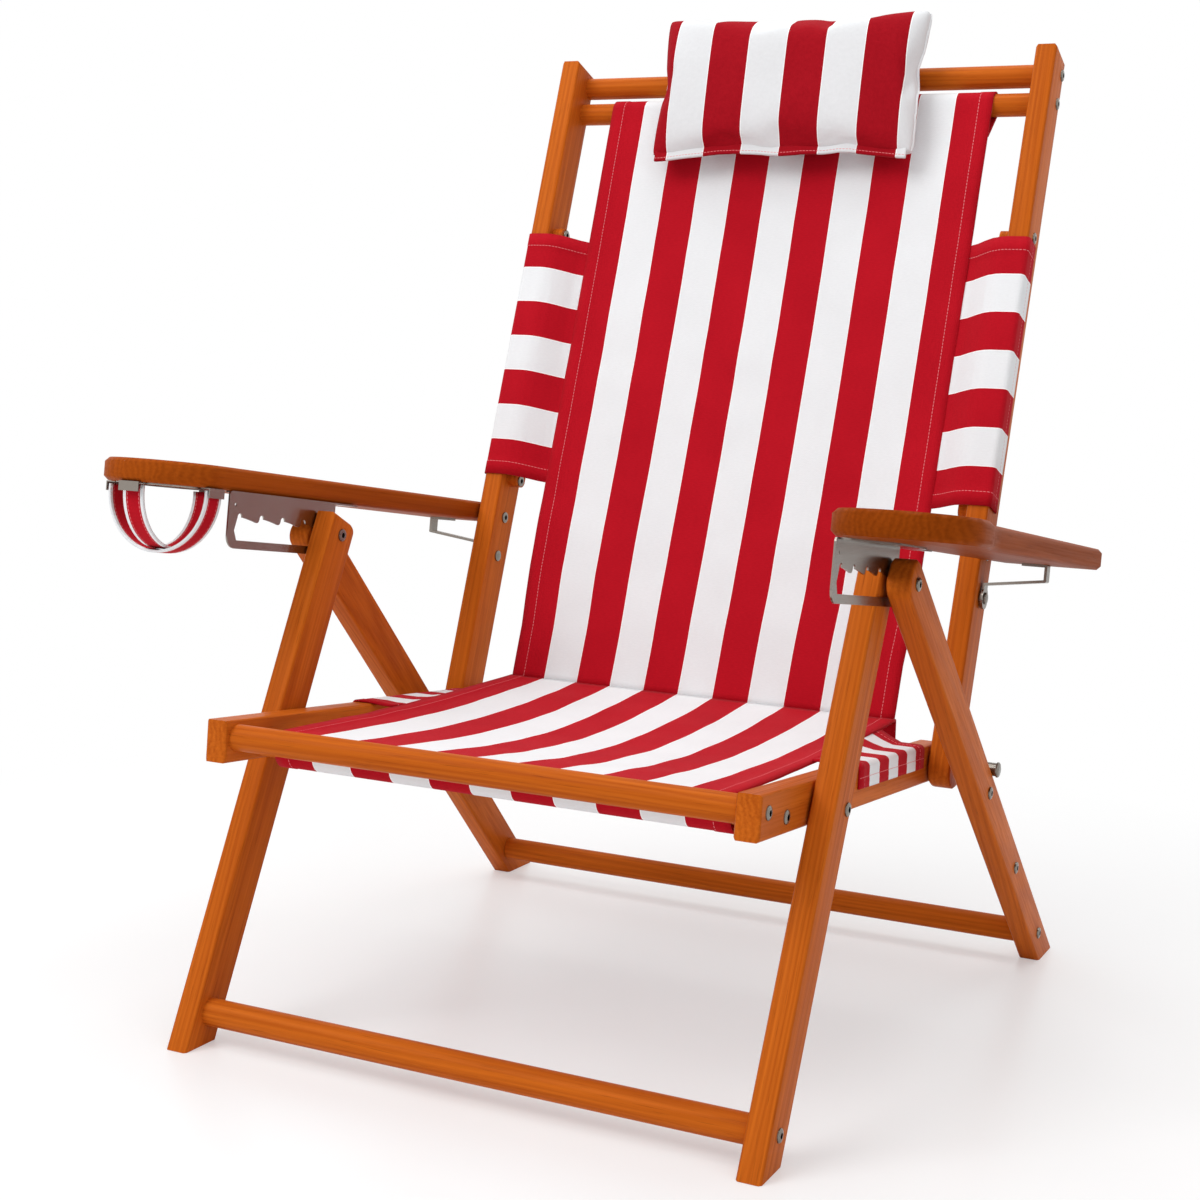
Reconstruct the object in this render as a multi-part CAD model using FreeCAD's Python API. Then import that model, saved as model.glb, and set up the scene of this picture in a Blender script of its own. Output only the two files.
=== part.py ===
"""Folding steamer deck chair: varnished wood frame, striped canvas, steel fittings.

Millimetres. x runs to the viewer's right, y from the front of the seat to the back, z up.
The right-hand pieces are drawn and the left-hand ones are their mirror images. Heights and
the y places of the pivots are read off one side drawing. At the end the whole chair moves
along y, so that the origin is the middle of its footprint on the floor.
"""
import FreeCAD
import Part
import os
from math import atan2, cos, hypot, pi, radians, sin, sqrt, tan

os.makedirs("parts", exist_ok=True)

# Pivots of the side drawing, as (y, z)
LEG_PIVOT = (-14.0, 243.7)
BACK_PIVOT = (298.0, 224.0)
ARM_PIVOT = (344.4, 371.0)
NOTCH_PIN = (56.0, 410.5)

# Layers across the chair, from the middle outwards
RAIL_INNER_X = 219.0
RAIL_THICKNESS = 20.0
PIVOT_WASHER_THICKNESS = 1.6
RUNNING_GAP = 0.2
LEG_THICKNESS = 20.0
PLATE_GAP = 0.4
PLATE_THICKNESS = 1.5
REAR_LEG_GAP = 1.9
REAR_LEG_THICKNESS = 20.0
REAR_LEG_SPLAY = 3.31

# Wood sections
RAIL_HEIGHT = 34.4
FRONT_LEG_DEPTH = 37.6
REAR_LEG_DEPTH = 36.4
UPRIGHT_DEPTH = 41.6
ARRIS = 2.0
DOWEL_RADIUS = 10.9
STRETCHER_RADIUS = 11.6
FIT = 0.05
CLOTH_GAP = 0.3

# Seat rails
RAIL_FRONT = (-140.2, 257.9)
RAIL_SLOPE = 4.5
RAIL_BEHIND_PIVOT = 30.0
RAIL_END_RADIUS = 12.0
FRONT_DOWEL = (-125.2, 259.8)
SLING_DOWEL_BEHIND = 38.0
SLING_DOWEL_DROP = 10.5
REAR_DOWEL_BEHIND = 17.0

# Front legs
FRONT_FOOT_Y = -140.5
LEG_TOP_MARGIN = 14.6
FRONT_LEG_TOP_RADIUS = 8.0
STRETCHER_HEIGHT = 26.1

# Rear legs
REAR_LEG_TOP_MARGIN = 16.0
REAR_LEG_TOP_RADIUS = 13.0
REAR_STRETCHER_HEIGHT = 29.6
REAR_STRETCHER_RADIUS = 11.6
STOP_GAP = 0.3
REAR_LEG_BOLTS = (305.0, 438.0)

# Back frame
BACK_LEAN = 18.42
UPRIGHT_ABOVE_ARM_PIVOT = 533.5
UPRIGHT_BELOW_BACK_PIVOT = 22.0
UPRIGHT_FOOT_RADIUS = 18.0
TOP_DOWEL_FROM_END = 15.4
SLING_HANGER_FROM_END = 45.9
TOP_DOWEL_BEHIND = 13.9
SLING_HANGER_BEHIND = 11.3
BATTEN_LENGTH = 279.0
BATTEN_ABOVE_ARM_PIVOT = 74.0
BATTEN_WIDTH = 20.0
BATTEN_THICKNESS = 10.5
BATTEN_BOLT_FROM_END = 6.0
UPRIGHT_PLUG_BOLT = 40.6

# Bolts, pins and screws
PIVOT_BOLT_RADIUS = 3.0
BACK_BOLT_RADIUS = 4.0
STOP_SLEEVE_RADIUS = 6.0
STOP_DISC_RADIUS = 7.0
STOP_DISC_THICKNESS = 2.5
BOLT_HEAD_RADIUS = 5.6
BOLT_HEAD_HEIGHT = 1.8
SCREW_SIDES = 8
LOOP_SIDES = 12
WASHER_RADIUS = 9.0
PIN_HEAD_STANDOFF = 0.5
SCREW_RADIUS = 2.5
SCREW_BITE = 26.0
SHORT_SCREW_BITE = 12.0

# Armrests, drawn lying flat: y along the arm from above the arm pivot, z down from its underside
ARM_SLOPE = 6.565
ARM_ABOVE_PIVOT = 34.7
ARM_INNER_X = 263.5
ARM_WIDTH = 92.0
ARM_PADDLE_WIDTH = 108.0
ARM_FRONT_REACH = 492.4
ARM_REAR_REACH = 61.0
ARM_THICKNESS = 19.0
ARM_NECK_LENGTH = 110.0
NECK_BOW = 0.125
ARM_REAR_CORNER_RADIUS = 9.0
ARM_EDGE = 3.5
CUP_HOLE_RADIUS = 38.0

# Notched plates under the armrests
NOTCH_PITCH = 31.0
NOTCH_PEAK_DEPTH = 18.0
NOTCH_CLEARANCE = 0.4
TOOTH_TIP_DEPTH = 24.7
TOOTH_TIP_AHEAD = 8.2
TOOTH_CURVE = 0.6
RAMP_BULGE_SHARE = 0.4
WINDOW_DEPTH = 40.6
WINDOW_AHEAD = 7.0
WINDOW_BEHIND = 8.5
WINDOW_CORNER_RADIUS = 4.0
PLATE_BAR_HEIGHT = 7.0
PLATE_COLUMN = 9.0
PLATE_CORNER_RADIUS = 11.0
PLATE_TOP_CORNER_RADIUS = 4.0
FLANGE_WIDTH = 33.0
FLANGE_NECK_WIDTH = 10.0
FLANGE_NECK_LENGTH = 22.0
FLANGE_TONGUE_LENGTH = 36.0
FLANGE_TONGUE_WIDTH = 17.0
PLATE_HOLE_RADIUS = 1.5
PLATE_SCREW_RADIUS = 1.8
PLATE_SCREW_HEAD_RADIUS = 3.6
PLATE_SCREW_X = 12.0

# Arm brackets
BRACKET_THICKNESS = 2.5
BRACKET_WIDTH = 12.0
BRACKET_EAR_RADIUS = 10.0
BRACKET_DROP = 15.0
BRACKET_SHOULDER = 22.0
BRACKET_REACH = 55.0
BRACKET_BASE = 22.0
BRACKET_SCREW_INSETS = (6.6, 15.6)
BRACKET_WASHER_THICKNESS = 1.2
BRACKET_WASHER_RADIUS = 8.0
RIVET_RADIUS = 3.0
RIVET_HEAD_RADIUS = 5.5

# Cup sling under the left armrest
CUP_RING_WIDTH = 6.0
CUP_RING_THICKNESS = 1.2
CUP_STRAP_WIDTH = 20.0
CUP_STRAP_NESTING = 3.4
CUP_STRAP_AHEAD = 6.5
CUP_STRAP_THICKNESS = 1.6
CUP_STRAP_SPAN = 50.0
CUP_STRAP_DROP = 54.0
CUP_CLIP_LENGTH = 8.0
CUP_CLIP_THICKNESS = 1.0
CLIP_TO_PLATE = 3.0

# Canvas
CLOTH_THICKNESS = 1.6
SEAT_HALF_WIDTH = 200.0
BACK_HALF_WIDTH = 204.0
CREASE = (306.0, 256.5)
BEND_HEIGHT = 88.0
SEAM_GAP = 0.6
POCKET_SLACK = 2.5
BACK_FLAP_LENGTH = 259.0
BACK_FLAP_ABOVE_ARM_PIVOT = 81.0
BACK_FLAP_WRAP = 29.0
SEAT_FLAP_FRONT_Y = 78.0
SEAT_FLAP_REAR_Y = 262.0
SEAT_FLAP_DROP = 20.0
FLAP_THICKNESS = 1.2

# Head pillow
PILLOW_WIDTH = 284.0
PILLOW_HEIGHT = 164.0
PILLOW_THICKNESS = 46.0
PILLOW_ABOVE_TOP_DOWEL = 52.0
PILLOW_SECTIONS = (
    (0.0, 0.96, 14.0),
    (0.12, 0.98, 33.0),
    (0.5, 1.0, PILLOW_THICKNESS),
    (0.88, 0.98, 33.0),
    (1.0, 0.96, 14.0),
)
PILLOW_OUTLINE = (
    (-1.0, -0.4), (-0.75, -0.9), (0.0, -1.0), (0.75, -0.9), (1.0, -0.4),
    (1.0, 0.4), (0.75, 0.9), (0.0, 1.0), (-0.75, 0.9), (-1.0, 0.4),
)
PILLOW_STRAP_X = 80.0
PILLOW_STRAP_WIDTH = 25.0

# Places that follow from the sizes above
RAIL_OUTER_X = RAIL_INNER_X + RAIL_THICKNESS
LEG_INNER_X = RAIL_OUTER_X + PIVOT_WASHER_THICKNESS + 2 * RUNNING_GAP
LEG_OUTER_X = LEG_INNER_X + LEG_THICKNESS
PLATE_INNER_X = LEG_OUTER_X + PLATE_GAP
REAR_LEG_PIN_X = PLATE_INNER_X + PLATE_THICKNESS + REAR_LEG_GAP
SPLAY_RUN = tan(radians(REAR_LEG_SPLAY))
TINY = 1e-4
CORNER_REACH = 1.0
FAR = 1000.0

parts = {}


def vec(x, y, z):
    """Point or direction."""
    return FreeCAD.Vector(x, y, z)


def along(point, direction, distance):
    """Point of the side drawing at a distance from another one."""
    return (point[0] + direction[0] * distance, point[1] + direction[1] * distance)


def unit(start, end):
    """Unit direction of the side drawing from one point to another."""
    length = hypot(end[0] - start[0], end[1] - start[1])
    return ((end[0] - start[0]) / length, (end[1] - start[1]) / length)


def flat_face(corners):
    """Face bounded by straight edges."""
    return Part.Face(Part.makePolygon(corners + corners[:1]))


def side_prism(points, x_from, x_to):
    """Prism across the chair whose section is a polygon of the side drawing."""
    return flat_face([vec(x_from, y, z) for y, z in points]).extrude(vec(x_to - x_from, 0, 0))


def rod(place, radius, x_from, x_to):
    """Round bar across the chair at a point of the side drawing."""
    start = min(x_from, x_to)
    return Part.makeCylinder(radius, abs(x_to - x_from), vec(start, *place), vec(1, 0, 0))


def fillet(shape, radius, wanted):
    """Round every edge that the test picks."""
    edges = [edge for edge in shape.Edges if wanted(edge)]
    return shape.makeFillet(radius, edges) if edges else shape


def crosswise(edge):
    """True for a straight edge that runs across the chair."""
    if len(edge.Vertexes) != 2:
        return False
    span = edge.Vertexes[1].Point - edge.Vertexes[0].Point
    return abs(span.y) < TINY and abs(span.z) < TINY and abs(span.x) > TINY


def near(edge, place, reach):
    """True where an edge's middle lies near a point of the side drawing."""
    middle = edge.BoundBox.Center
    return hypot(middle.y - place[0], middle.z - place[1]) < reach


def on_floor(edge):
    """True for an edge that lies in the floor plane."""
    return edge.BoundBox.ZMax < TINY


def side_outline(shape):
    """Edges round the two broad faces of a plank, without those on the floor."""
    broad = [face for face in shape.Faces if abs(face.normalAt(0, 0).x) > 0.9]
    rim = []
    for face in broad:
        rim += [edge for edge in face.OuterWire.Edges if not on_floor(edge)]
    return rim


def soften(shape, size=ARRIS):
    """Plank with the arrises round its broad faces eased."""
    return shape.makeChamfer(size, side_outline(shape))


def mirrored(shape):
    """Left-hand twin of a right-hand piece."""
    return shape.mirror(vec(0, 0, 0), vec(1, 0, 0))


def pair(name, shape):
    """Keep a right-hand piece and its left-hand twin as two nodes."""
    parts[name + "_right"] = shape
    parts[name + "_left"] = mirrored(shape)


def group(name, solids):
    """Keep right-hand fasteners and their left-hand twins as one node."""
    parts[name] = Part.makeCompound(solids + [mirrored(solid) for solid in solids])


def ring_of_corners(radius, sides=SCREW_SIDES):
    """Corners of a regular outline."""
    turns = [2 * pi * step / sides for step in range(sides)]
    return [(radius * cos(turn), radius * sin(turn)) for turn in turns]


def facet_bar(place, radius, x_from, x_to, sides=SCREW_SIDES):
    """Many-sided bar across the chair, for screws that never turn."""
    corners = [(place[0] + y, place[1] + z) for y, z in ring_of_corners(radius, sides)]
    return side_prism(corners, x_from, x_to)


def cloth_loop(place, thickness, x_from, x_to):
    """Loop of cloth round a dowel, clear of it by the cloth gap."""
    inner = (DOWEL_RADIUS + CLOTH_GAP) / cos(pi / LOOP_SIDES)
    loop = facet_bar(place, inner + thickness, x_from, x_to, LOOP_SIDES)
    return loop.cut(facet_bar(place, inner, x_from, x_to, LOOP_SIDES))


def facet_post(x, y, radius, z_from, z_to):
    """Many-sided upright post, for screws driven up into an armrest."""
    corners = [vec(x + across, y + ahead, z_from) for across, ahead in ring_of_corners(radius)]
    return flat_face(corners).extrude(vec(0, 0, z_to - z_from))


def fixed_bolt(place, head_x, end_x, tail_head=False):
    """Bolt that holds two wooden pieces together; it points inwards from its head."""
    body = facet_bar(place, BOLT_HEAD_RADIUS, head_x, head_x + BOLT_HEAD_HEIGHT)
    body = body.fuse(facet_bar(place, SCREW_RADIUS, end_x, head_x))
    if tail_head:
        body = body.fuse(facet_bar(place, BOLT_HEAD_RADIUS, end_x - BOLT_HEAD_HEIGHT, end_x))
    return body.removeSplitter()


def pivot_bolt(place, head_x, end_x, radius, head_radius):
    """Round bolt with a head at each end, for pieces that turn on it."""
    body = facet_bar(place, head_radius, head_x, head_x + BOLT_HEAD_HEIGHT)
    body = body.fuse(rod(place, radius, end_x, head_x))
    return body.fuse(facet_bar(place, head_radius, end_x - BOLT_HEAD_HEIGHT, end_x)).removeSplitter()


def washer(place, hole_radius, radius, x_from, x_to):
    """Flat washer that a bolt turns in."""
    return facet_bar(place, radius, x_from, x_to).cut(rod(place, hole_radius + FIT, x_from, x_to))


def bore(shape, place, radius):
    """Hole across the chair that leaves a running fit round a bolt."""
    return shape.cut(rod(place, radius + FIT, 0.0, FAR))


def screw_hole(shape, place, x_from=0.0, x_to=FAR):
    """Hole across the chair for a screw that never turns."""
    return shape.cut(facet_bar(place, SCREW_RADIUS + FIT, x_from, x_to))


def bored_dowel(place, radius, half_length):
    """Round crossbar with a screw hole in each end."""
    dowel = rod(place, radius, -half_length, half_length)
    hole = facet_bar(place, SCREW_RADIUS + FIT, half_length - SCREW_BITE, FAR)
    return dowel.cut(hole).cut(mirrored(hole))


# Lines of the frame
rail_way = (cos(radians(RAIL_SLOPE)), -sin(radians(RAIL_SLOPE)))
rail_up = (-rail_way[1], rail_way[0])
back_way = (sin(radians(BACK_LEAN)), cos(radians(BACK_LEAN)))
back_front = (-back_way[1], back_way[0])
front_foot = (FRONT_FOOT_Y, 0.0)
front_leg_way = unit(front_foot, NOTCH_PIN)
arm_way = (cos(radians(ARM_SLOPE)), -sin(radians(ARM_SLOPE)))
arm_up = (-arm_way[1], arm_way[0])


def rail_height_at(y):
    """Height of the rail's middle line."""
    return RAIL_FRONT[1] - (y - RAIL_FRONT[0]) * tan(radians(RAIL_SLOPE))


def rail_top_at(y):
    """Height of the rail's upper face."""
    return rail_height_at(y) + RAIL_HEIGHT / 2 / cos(radians(RAIL_SLOPE))


def back_point(up, ahead=0.0):
    """Place on the back frame, measured from the arm pivot."""
    return along(along(ARM_PIVOT, back_way, up), back_front, ahead)


def strip(points, thickness):
    """Polygon bands with round bends: a flat strap seen on edge, as faces in the y-z plane."""
    bands = []
    for start, end in zip(points, points[1:]):
        way = unit(start, end)
        side = (-way[1] * thickness / 2, way[0] * thickness / 2)
        ring = [
            (start[0] + side[0], start[1] + side[1]),
            (end[0] + side[0], end[1] + side[1]),
            (end[0] - side[0], end[1] - side[1]),
            (start[0] - side[0], start[1] - side[1]),
        ]
        bands.append(ring)
    return bands


def cloth_band(points, thickness, x_from, x_to):
    """Sheet across the chair that follows a line of the side drawing."""
    sheet = None
    for ring in strip(points, thickness):
        piece = side_prism(ring, x_from, x_to)
        sheet = piece if sheet is None else sheet.fuse(piece)
    for bend in points[1:-1]:
        sheet = sheet.fuse(rod(bend, thickness / 2, x_from, x_to))
    return sheet.removeSplitter()


def build_seat_frame():
    """Side rails, their cross dowels and the screws in the rail ends."""
    length = (BACK_PIVOT[0] + RAIL_BEHIND_PIVOT - RAIL_FRONT[0]) / rail_way[0]
    rear = along(RAIL_FRONT, rail_way, length)
    outline = [
        along(RAIL_FRONT, rail_up, -RAIL_HEIGHT / 2),
        along(rear, rail_up, -RAIL_HEIGHT / 2),
        along(rear, rail_up, RAIL_HEIGHT / 2),
        along(RAIL_FRONT, rail_up, RAIL_HEIGHT / 2),
    ]
    rail = side_prism(outline, RAIL_INNER_X, RAIL_OUTER_X)
    rail = fillet(rail, RAIL_END_RADIUS, lambda edge: crosswise(edge) and near(edge, rear, RAIL_HEIGHT))
    rail = soften(rail)
    rail = bore(rail, LEG_PIVOT, PIVOT_BOLT_RADIUS)
    rail = bore(rail, BACK_PIVOT, BACK_BOLT_RADIUS)
    sling_dowel = (FRONT_DOWEL[0] + SLING_DOWEL_BEHIND, FRONT_DOWEL[1] - SLING_DOWEL_DROP)
    rear_y = BACK_PIVOT[0] + REAR_DOWEL_BEHIND
    rear_dowel = (rear_y, rail_height_at(rear_y))
    screws = []
    for name, place in (
        ("front_rail_dowel", FRONT_DOWEL),
        ("seat_sling_dowel", sling_dowel),
        ("seat_rear_dowel", rear_dowel),
    ):
        parts[name] = bored_dowel(place, DOWEL_RADIUS, RAIL_INNER_X)
        rail = screw_hole(rail, place)
        tip_x = RAIL_INNER_X - SCREW_BITE + FIT
        if name == "seat_rear_dowel":
            screws.append(facet_bar(place, SCREW_RADIUS, tip_x, RAIL_OUTER_X))
        else:
            screws.append(fixed_bolt(place, RAIL_OUTER_X, tip_x))
    pair("seat_rail", rail)
    group("rail_screws", screws)
    spacer_x = (RAIL_OUTER_X + RUNNING_GAP, LEG_INNER_X - RUNNING_GAP)
    spacers = [
        washer(LEG_PIVOT, PIVOT_BOLT_RADIUS, WASHER_RADIUS, *spacer_x),
        washer(BACK_PIVOT, BACK_BOLT_RADIUS, WASHER_RADIUS, *spacer_x),
    ]
    group("pivot_spacers", spacers)
    head_x = LEG_OUTER_X + RUNNING_GAP
    bolt = pivot_bolt(LEG_PIVOT, head_x, RAIL_INNER_X, PIVOT_BOLT_RADIUS, BOLT_HEAD_RADIUS)
    group("leg_pivot_bolts", [bolt])
    return sling_dowel, rear_dowel


def build_front_legs():
    """Front legs with the stretcher at their feet and the notch pins at their tops."""
    top = along(NOTCH_PIN, front_leg_way, LEG_TOP_MARGIN)
    rear_side = (front_leg_way[1], -front_leg_way[0])
    half_foot = FRONT_LEG_DEPTH / 2 / front_leg_way[1]
    rear_top = along(top, rear_side, FRONT_LEG_DEPTH / 2)
    outline = [
        (FRONT_FOOT_Y - half_foot, 0.0),
        (FRONT_FOOT_Y + half_foot, 0.0),
        rear_top,
        along(top, rear_side, -FRONT_LEG_DEPTH / 2),
    ]
    leg = side_prism(outline, LEG_INNER_X, LEG_OUTER_X)
    leg = fillet(leg, FRONT_LEG_TOP_RADIUS, lambda edge: (
        crosswise(edge) and near(edge, rear_top, CORNER_REACH)
    ))
    leg = soften(leg)
    leg = bore(leg, LEG_PIVOT, PIVOT_BOLT_RADIUS)
    leg = bore(leg, NOTCH_PIN, PIVOT_BOLT_RADIUS)
    stretcher_place = along(front_foot, front_leg_way, STRETCHER_HEIGHT / front_leg_way[1])
    pair("front_leg", screw_hole(leg, stretcher_place))
    parts["front_stretcher"] = bored_dowel(stretcher_place, STRETCHER_RADIUS, LEG_INNER_X)
    bolt = fixed_bolt(stretcher_place, LEG_OUTER_X, LEG_INNER_X - SCREW_BITE + FIT)
    group("front_stretcher_bolts", [bolt])
    pin_head_x = REAR_LEG_PIN_X + REAR_LEG_THICKNESS + PIN_HEAD_STANDOFF
    pin = pivot_bolt(NOTCH_PIN, pin_head_x, LEG_INNER_X, PIVOT_BOLT_RADIUS, BOLT_HEAD_RADIUS)
    group("notch_pins", [pin])


def rear_leg_line():
    """Direction of the rear leg down from the pin, when its upper edge rests on the stop sleeve."""
    run = (BACK_PIVOT[0] - NOTCH_PIN[0], BACK_PIVOT[1] - NOTCH_PIN[1])
    reach = hypot(*run)
    offset = REAR_LEG_DEPTH / 2 + STOP_SLEEVE_RADIUS + STOP_GAP
    angle = atan2(run[1], run[0]) - atan2(offset, sqrt(reach ** 2 - offset ** 2))
    return (cos(angle), sin(angle))


def splay_x(z):
    """Inner face of the splayed rear leg at a height."""
    return REAR_LEG_PIN_X + (NOTCH_PIN[1] - z) * SPLAY_RUN


def build_rear_legs():
    """Splayed rear legs with their stretcher and bolts."""
    way = rear_leg_line()
    upper = (-way[1], way[0])
    half = REAR_LEG_DEPTH / 2
    top = along(NOTCH_PIN, way, -REAR_LEG_TOP_MARGIN)
    foot = along(NOTCH_PIN, way, -NOTCH_PIN[1] / way[1])
    half_foot = half / -way[1]
    top_corners = (along(top, upper, half), along(top, upper, -half))
    outline = [(foot[0] - half_foot, 0.0), (foot[0] + half_foot, 0.0), *top_corners]
    side_view = side_prism(outline, 0.0, FAR / 2)
    for corner in top_corners:
        side_view = fillet(side_view, REAR_LEG_TOP_RADIUS, lambda edge: (
            crosswise(edge) and near(edge, corner, CORNER_REACH)
        ))
    low, high = -1.0, NOTCH_PIN[1] + REAR_LEG_DEPTH
    front_view = [(splay_x(low), low), (splay_x(low) + REAR_LEG_THICKNESS, low)]
    front_view += [(splay_x(high) + REAR_LEG_THICKNESS, high), (splay_x(high), high)]
    corners = [vec(x, -FAR, z) for x, z in front_view]
    plank = flat_face(corners).extrude(vec(0, 2 * FAR, 0))
    leg = soften(side_view.common(plank).removeSplitter())
    leg = bore(leg, NOTCH_PIN, PIVOT_BOLT_RADIUS)
    stretcher_place = along(foot, way, -REAR_STRETCHER_HEIGHT / -way[1])
    leg = screw_hole(leg, stretcher_place)
    end_x = splay_x(REAR_STRETCHER_HEIGHT + REAR_STRETCHER_RADIUS)
    head_x = splay_x(REAR_STRETCHER_HEIGHT - BOLT_HEAD_RADIUS) + REAR_LEG_THICKNESS
    bolts = [fixed_bolt(stretcher_place, head_x, end_x - SCREW_BITE + FIT)]
    for distance in REAR_LEG_BOLTS:
        place = along(NOTCH_PIN, way, distance)
        head_x = splay_x(place[1] - BOLT_HEAD_RADIUS) + REAR_LEG_THICKNESS
        tip_x = head_x - SHORT_SCREW_BITE
        leg = screw_hole(leg, place, tip_x - FIT)
        bolts.append(fixed_bolt(place, head_x, tip_x))
    pair("rear_leg", leg)
    parts["rear_stretcher"] = bored_dowel(stretcher_place, REAR_STRETCHER_RADIUS, end_x)
    group("rear_leg_bolts", bolts)


def build_back_pivots():
    """Bolts that carry the back, each with a sleeve that stops the rear leg and a disc that keeps it in."""
    outer_face = splay_x(BACK_PIVOT[1]) + REAR_LEG_THICKNESS
    disc_x = outer_face + SPLAY_RUN * REAR_LEG_DEPTH + RUNNING_GAP
    shank = rod(BACK_PIVOT, BACK_BOLT_RADIUS, RAIL_INNER_X, LEG_OUTER_X + RUNNING_GAP)
    sleeve = rod(BACK_PIVOT, STOP_SLEEVE_RADIUS, LEG_OUTER_X + RUNNING_GAP, disc_x)
    disc = facet_bar(BACK_PIVOT, STOP_DISC_RADIUS, disc_x, disc_x + STOP_DISC_THICKNESS)
    tail = facet_bar(BACK_PIVOT, BOLT_HEAD_RADIUS, RAIL_INNER_X - BOLT_HEAD_HEIGHT, RAIL_INNER_X)
    group("back_pivot_bolts", [tail.fuse(shank).fuse(sleeve).fuse(disc).removeSplitter()])


def build_back_frame():
    """Uprights, cross dowels, side battens and bolts of the back."""
    top = back_point(UPRIGHT_ABOVE_ARM_PIVOT)
    rise = (ARM_PIVOT[0] - BACK_PIVOT[0], ARM_PIVOT[1] - BACK_PIVOT[1])
    low = -rise[0] * back_way[0] - rise[1] * back_way[1] - UPRIGHT_BELOW_BACK_PIVOT
    half = UPRIGHT_DEPTH / 2
    top_up = UPRIGHT_ABOVE_ARM_PIVOT
    outline = [
        back_point(low, -half),
        back_point(low, half),
        back_point(top_up, half),
        back_point(top_up, -half),
    ]
    upright = side_prism(outline, LEG_INNER_X, LEG_OUTER_X)
    upright = fillet(upright, UPRIGHT_FOOT_RADIUS, lambda edge: (
        crosswise(edge) and edge.BoundBox.ZMax < BACK_PIVOT[1]
    ))
    upright = soften(upright)
    upright = bore(upright, BACK_PIVOT, BACK_BOLT_RADIUS)
    upright = bore(upright, ARM_PIVOT, RIVET_RADIUS)
    dowel_places = {
        "top_dowel": back_point(top_up - TOP_DOWEL_FROM_END, -TOP_DOWEL_BEHIND),
        "back_sling_dowel": back_point(top_up - SLING_HANGER_FROM_END, -SLING_HANGER_BEHIND),
    }
    bolts = []
    for name, place in dowel_places.items():
        parts[name] = bored_dowel(place, DOWEL_RADIUS, LEG_INNER_X)
        upright = screw_hole(upright, place)
        bolts.append(fixed_bolt(place, LEG_OUTER_X, LEG_INNER_X - SCREW_BITE + FIT))
    batten_low = BATTEN_ABOVE_ARM_PIVOT
    batten_high = batten_low + BATTEN_LENGTH
    half = BATTEN_WIDTH / 2
    outline = [
        back_point(batten_low, -half),
        back_point(batten_low, half),
        back_point(batten_high, half),
        back_point(batten_high, -half),
    ]
    batten = side_prism(outline, LEG_INNER_X - BATTEN_THICKNESS, LEG_INNER_X)
    batten = fillet(batten, half - ARRIS, crosswise)
    batten_face = LEG_INNER_X - BATTEN_THICKNESS
    high = back_point(batten_high - BATTEN_BOLT_FROM_END)
    low = back_point(batten_low + BATTEN_BOLT_FROM_END)
    batten = screw_hole(screw_hole(batten, high), low)
    upright = screw_hole(upright, high)
    bolts.append(fixed_bolt(high, LEG_OUTER_X, batten_face, True))
    tip_x = LEG_INNER_X + SHORT_SCREW_BITE
    upright = screw_hole(upright, low, 0.0, tip_x + FIT)
    screw = facet_bar(low, BOLT_HEAD_RADIUS, batten_face - BOLT_HEAD_HEIGHT, batten_face)
    bolts.append(screw.fuse(facet_bar(low, SCREW_RADIUS, batten_face, tip_x)).removeSplitter())
    plug = back_point(UPRIGHT_PLUG_BOLT)
    upright = screw_hole(upright, plug)
    bolts.append(fixed_bolt(plug, LEG_OUTER_X, LEG_INNER_X, True))
    pair("back_upright", upright)
    pair("side_batten", batten)
    group("upright_bolts", bolts)
    return dowel_places


def lay_arm(shape):
    """Turn a flat-drawn armrest piece to its slope and put it over the arm pivot."""
    place = along(ARM_PIVOT, arm_up, ARM_ABOVE_PIVOT)
    turned = shape.copy()
    turned.rotate(vec(0, 0, 0), vec(1, 0, 0), -ARM_SLOPE)
    turned.translate(vec(0, *place))
    return turned


def pin_along_arm():
    """Where the notch pin stands along the flat-drawn armrest."""
    return (NOTCH_PIN[0] - ARM_PIVOT[0]) * arm_way[0] + (NOTCH_PIN[1] - ARM_PIVOT[1]) * arm_way[1]


def paddle_centre():
    """Middle of the armrest's round paddle, and of the cup hole in the left one."""
    radius = ARM_PADDLE_WIDTH / 2
    return ARM_INNER_X + radius, radius - ARM_FRONT_REACH


def notch_places():
    """Notches along the armrest: one over the pin and as many ahead of it as clear the cup's clips."""
    side_clip_rear = paddle_centre()[1] - CUP_STRAP_AHEAD + CUP_STRAP_WIDTH / 2
    foremost = side_clip_rear + CLIP_TO_PLATE + PLATE_COLUMN + WINDOW_AHEAD
    pin_y = pin_along_arm()
    return [pin_y - NOTCH_PITCH * step for step in range(1 + int((pin_y - foremost) / NOTCH_PITCH))]


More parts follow.
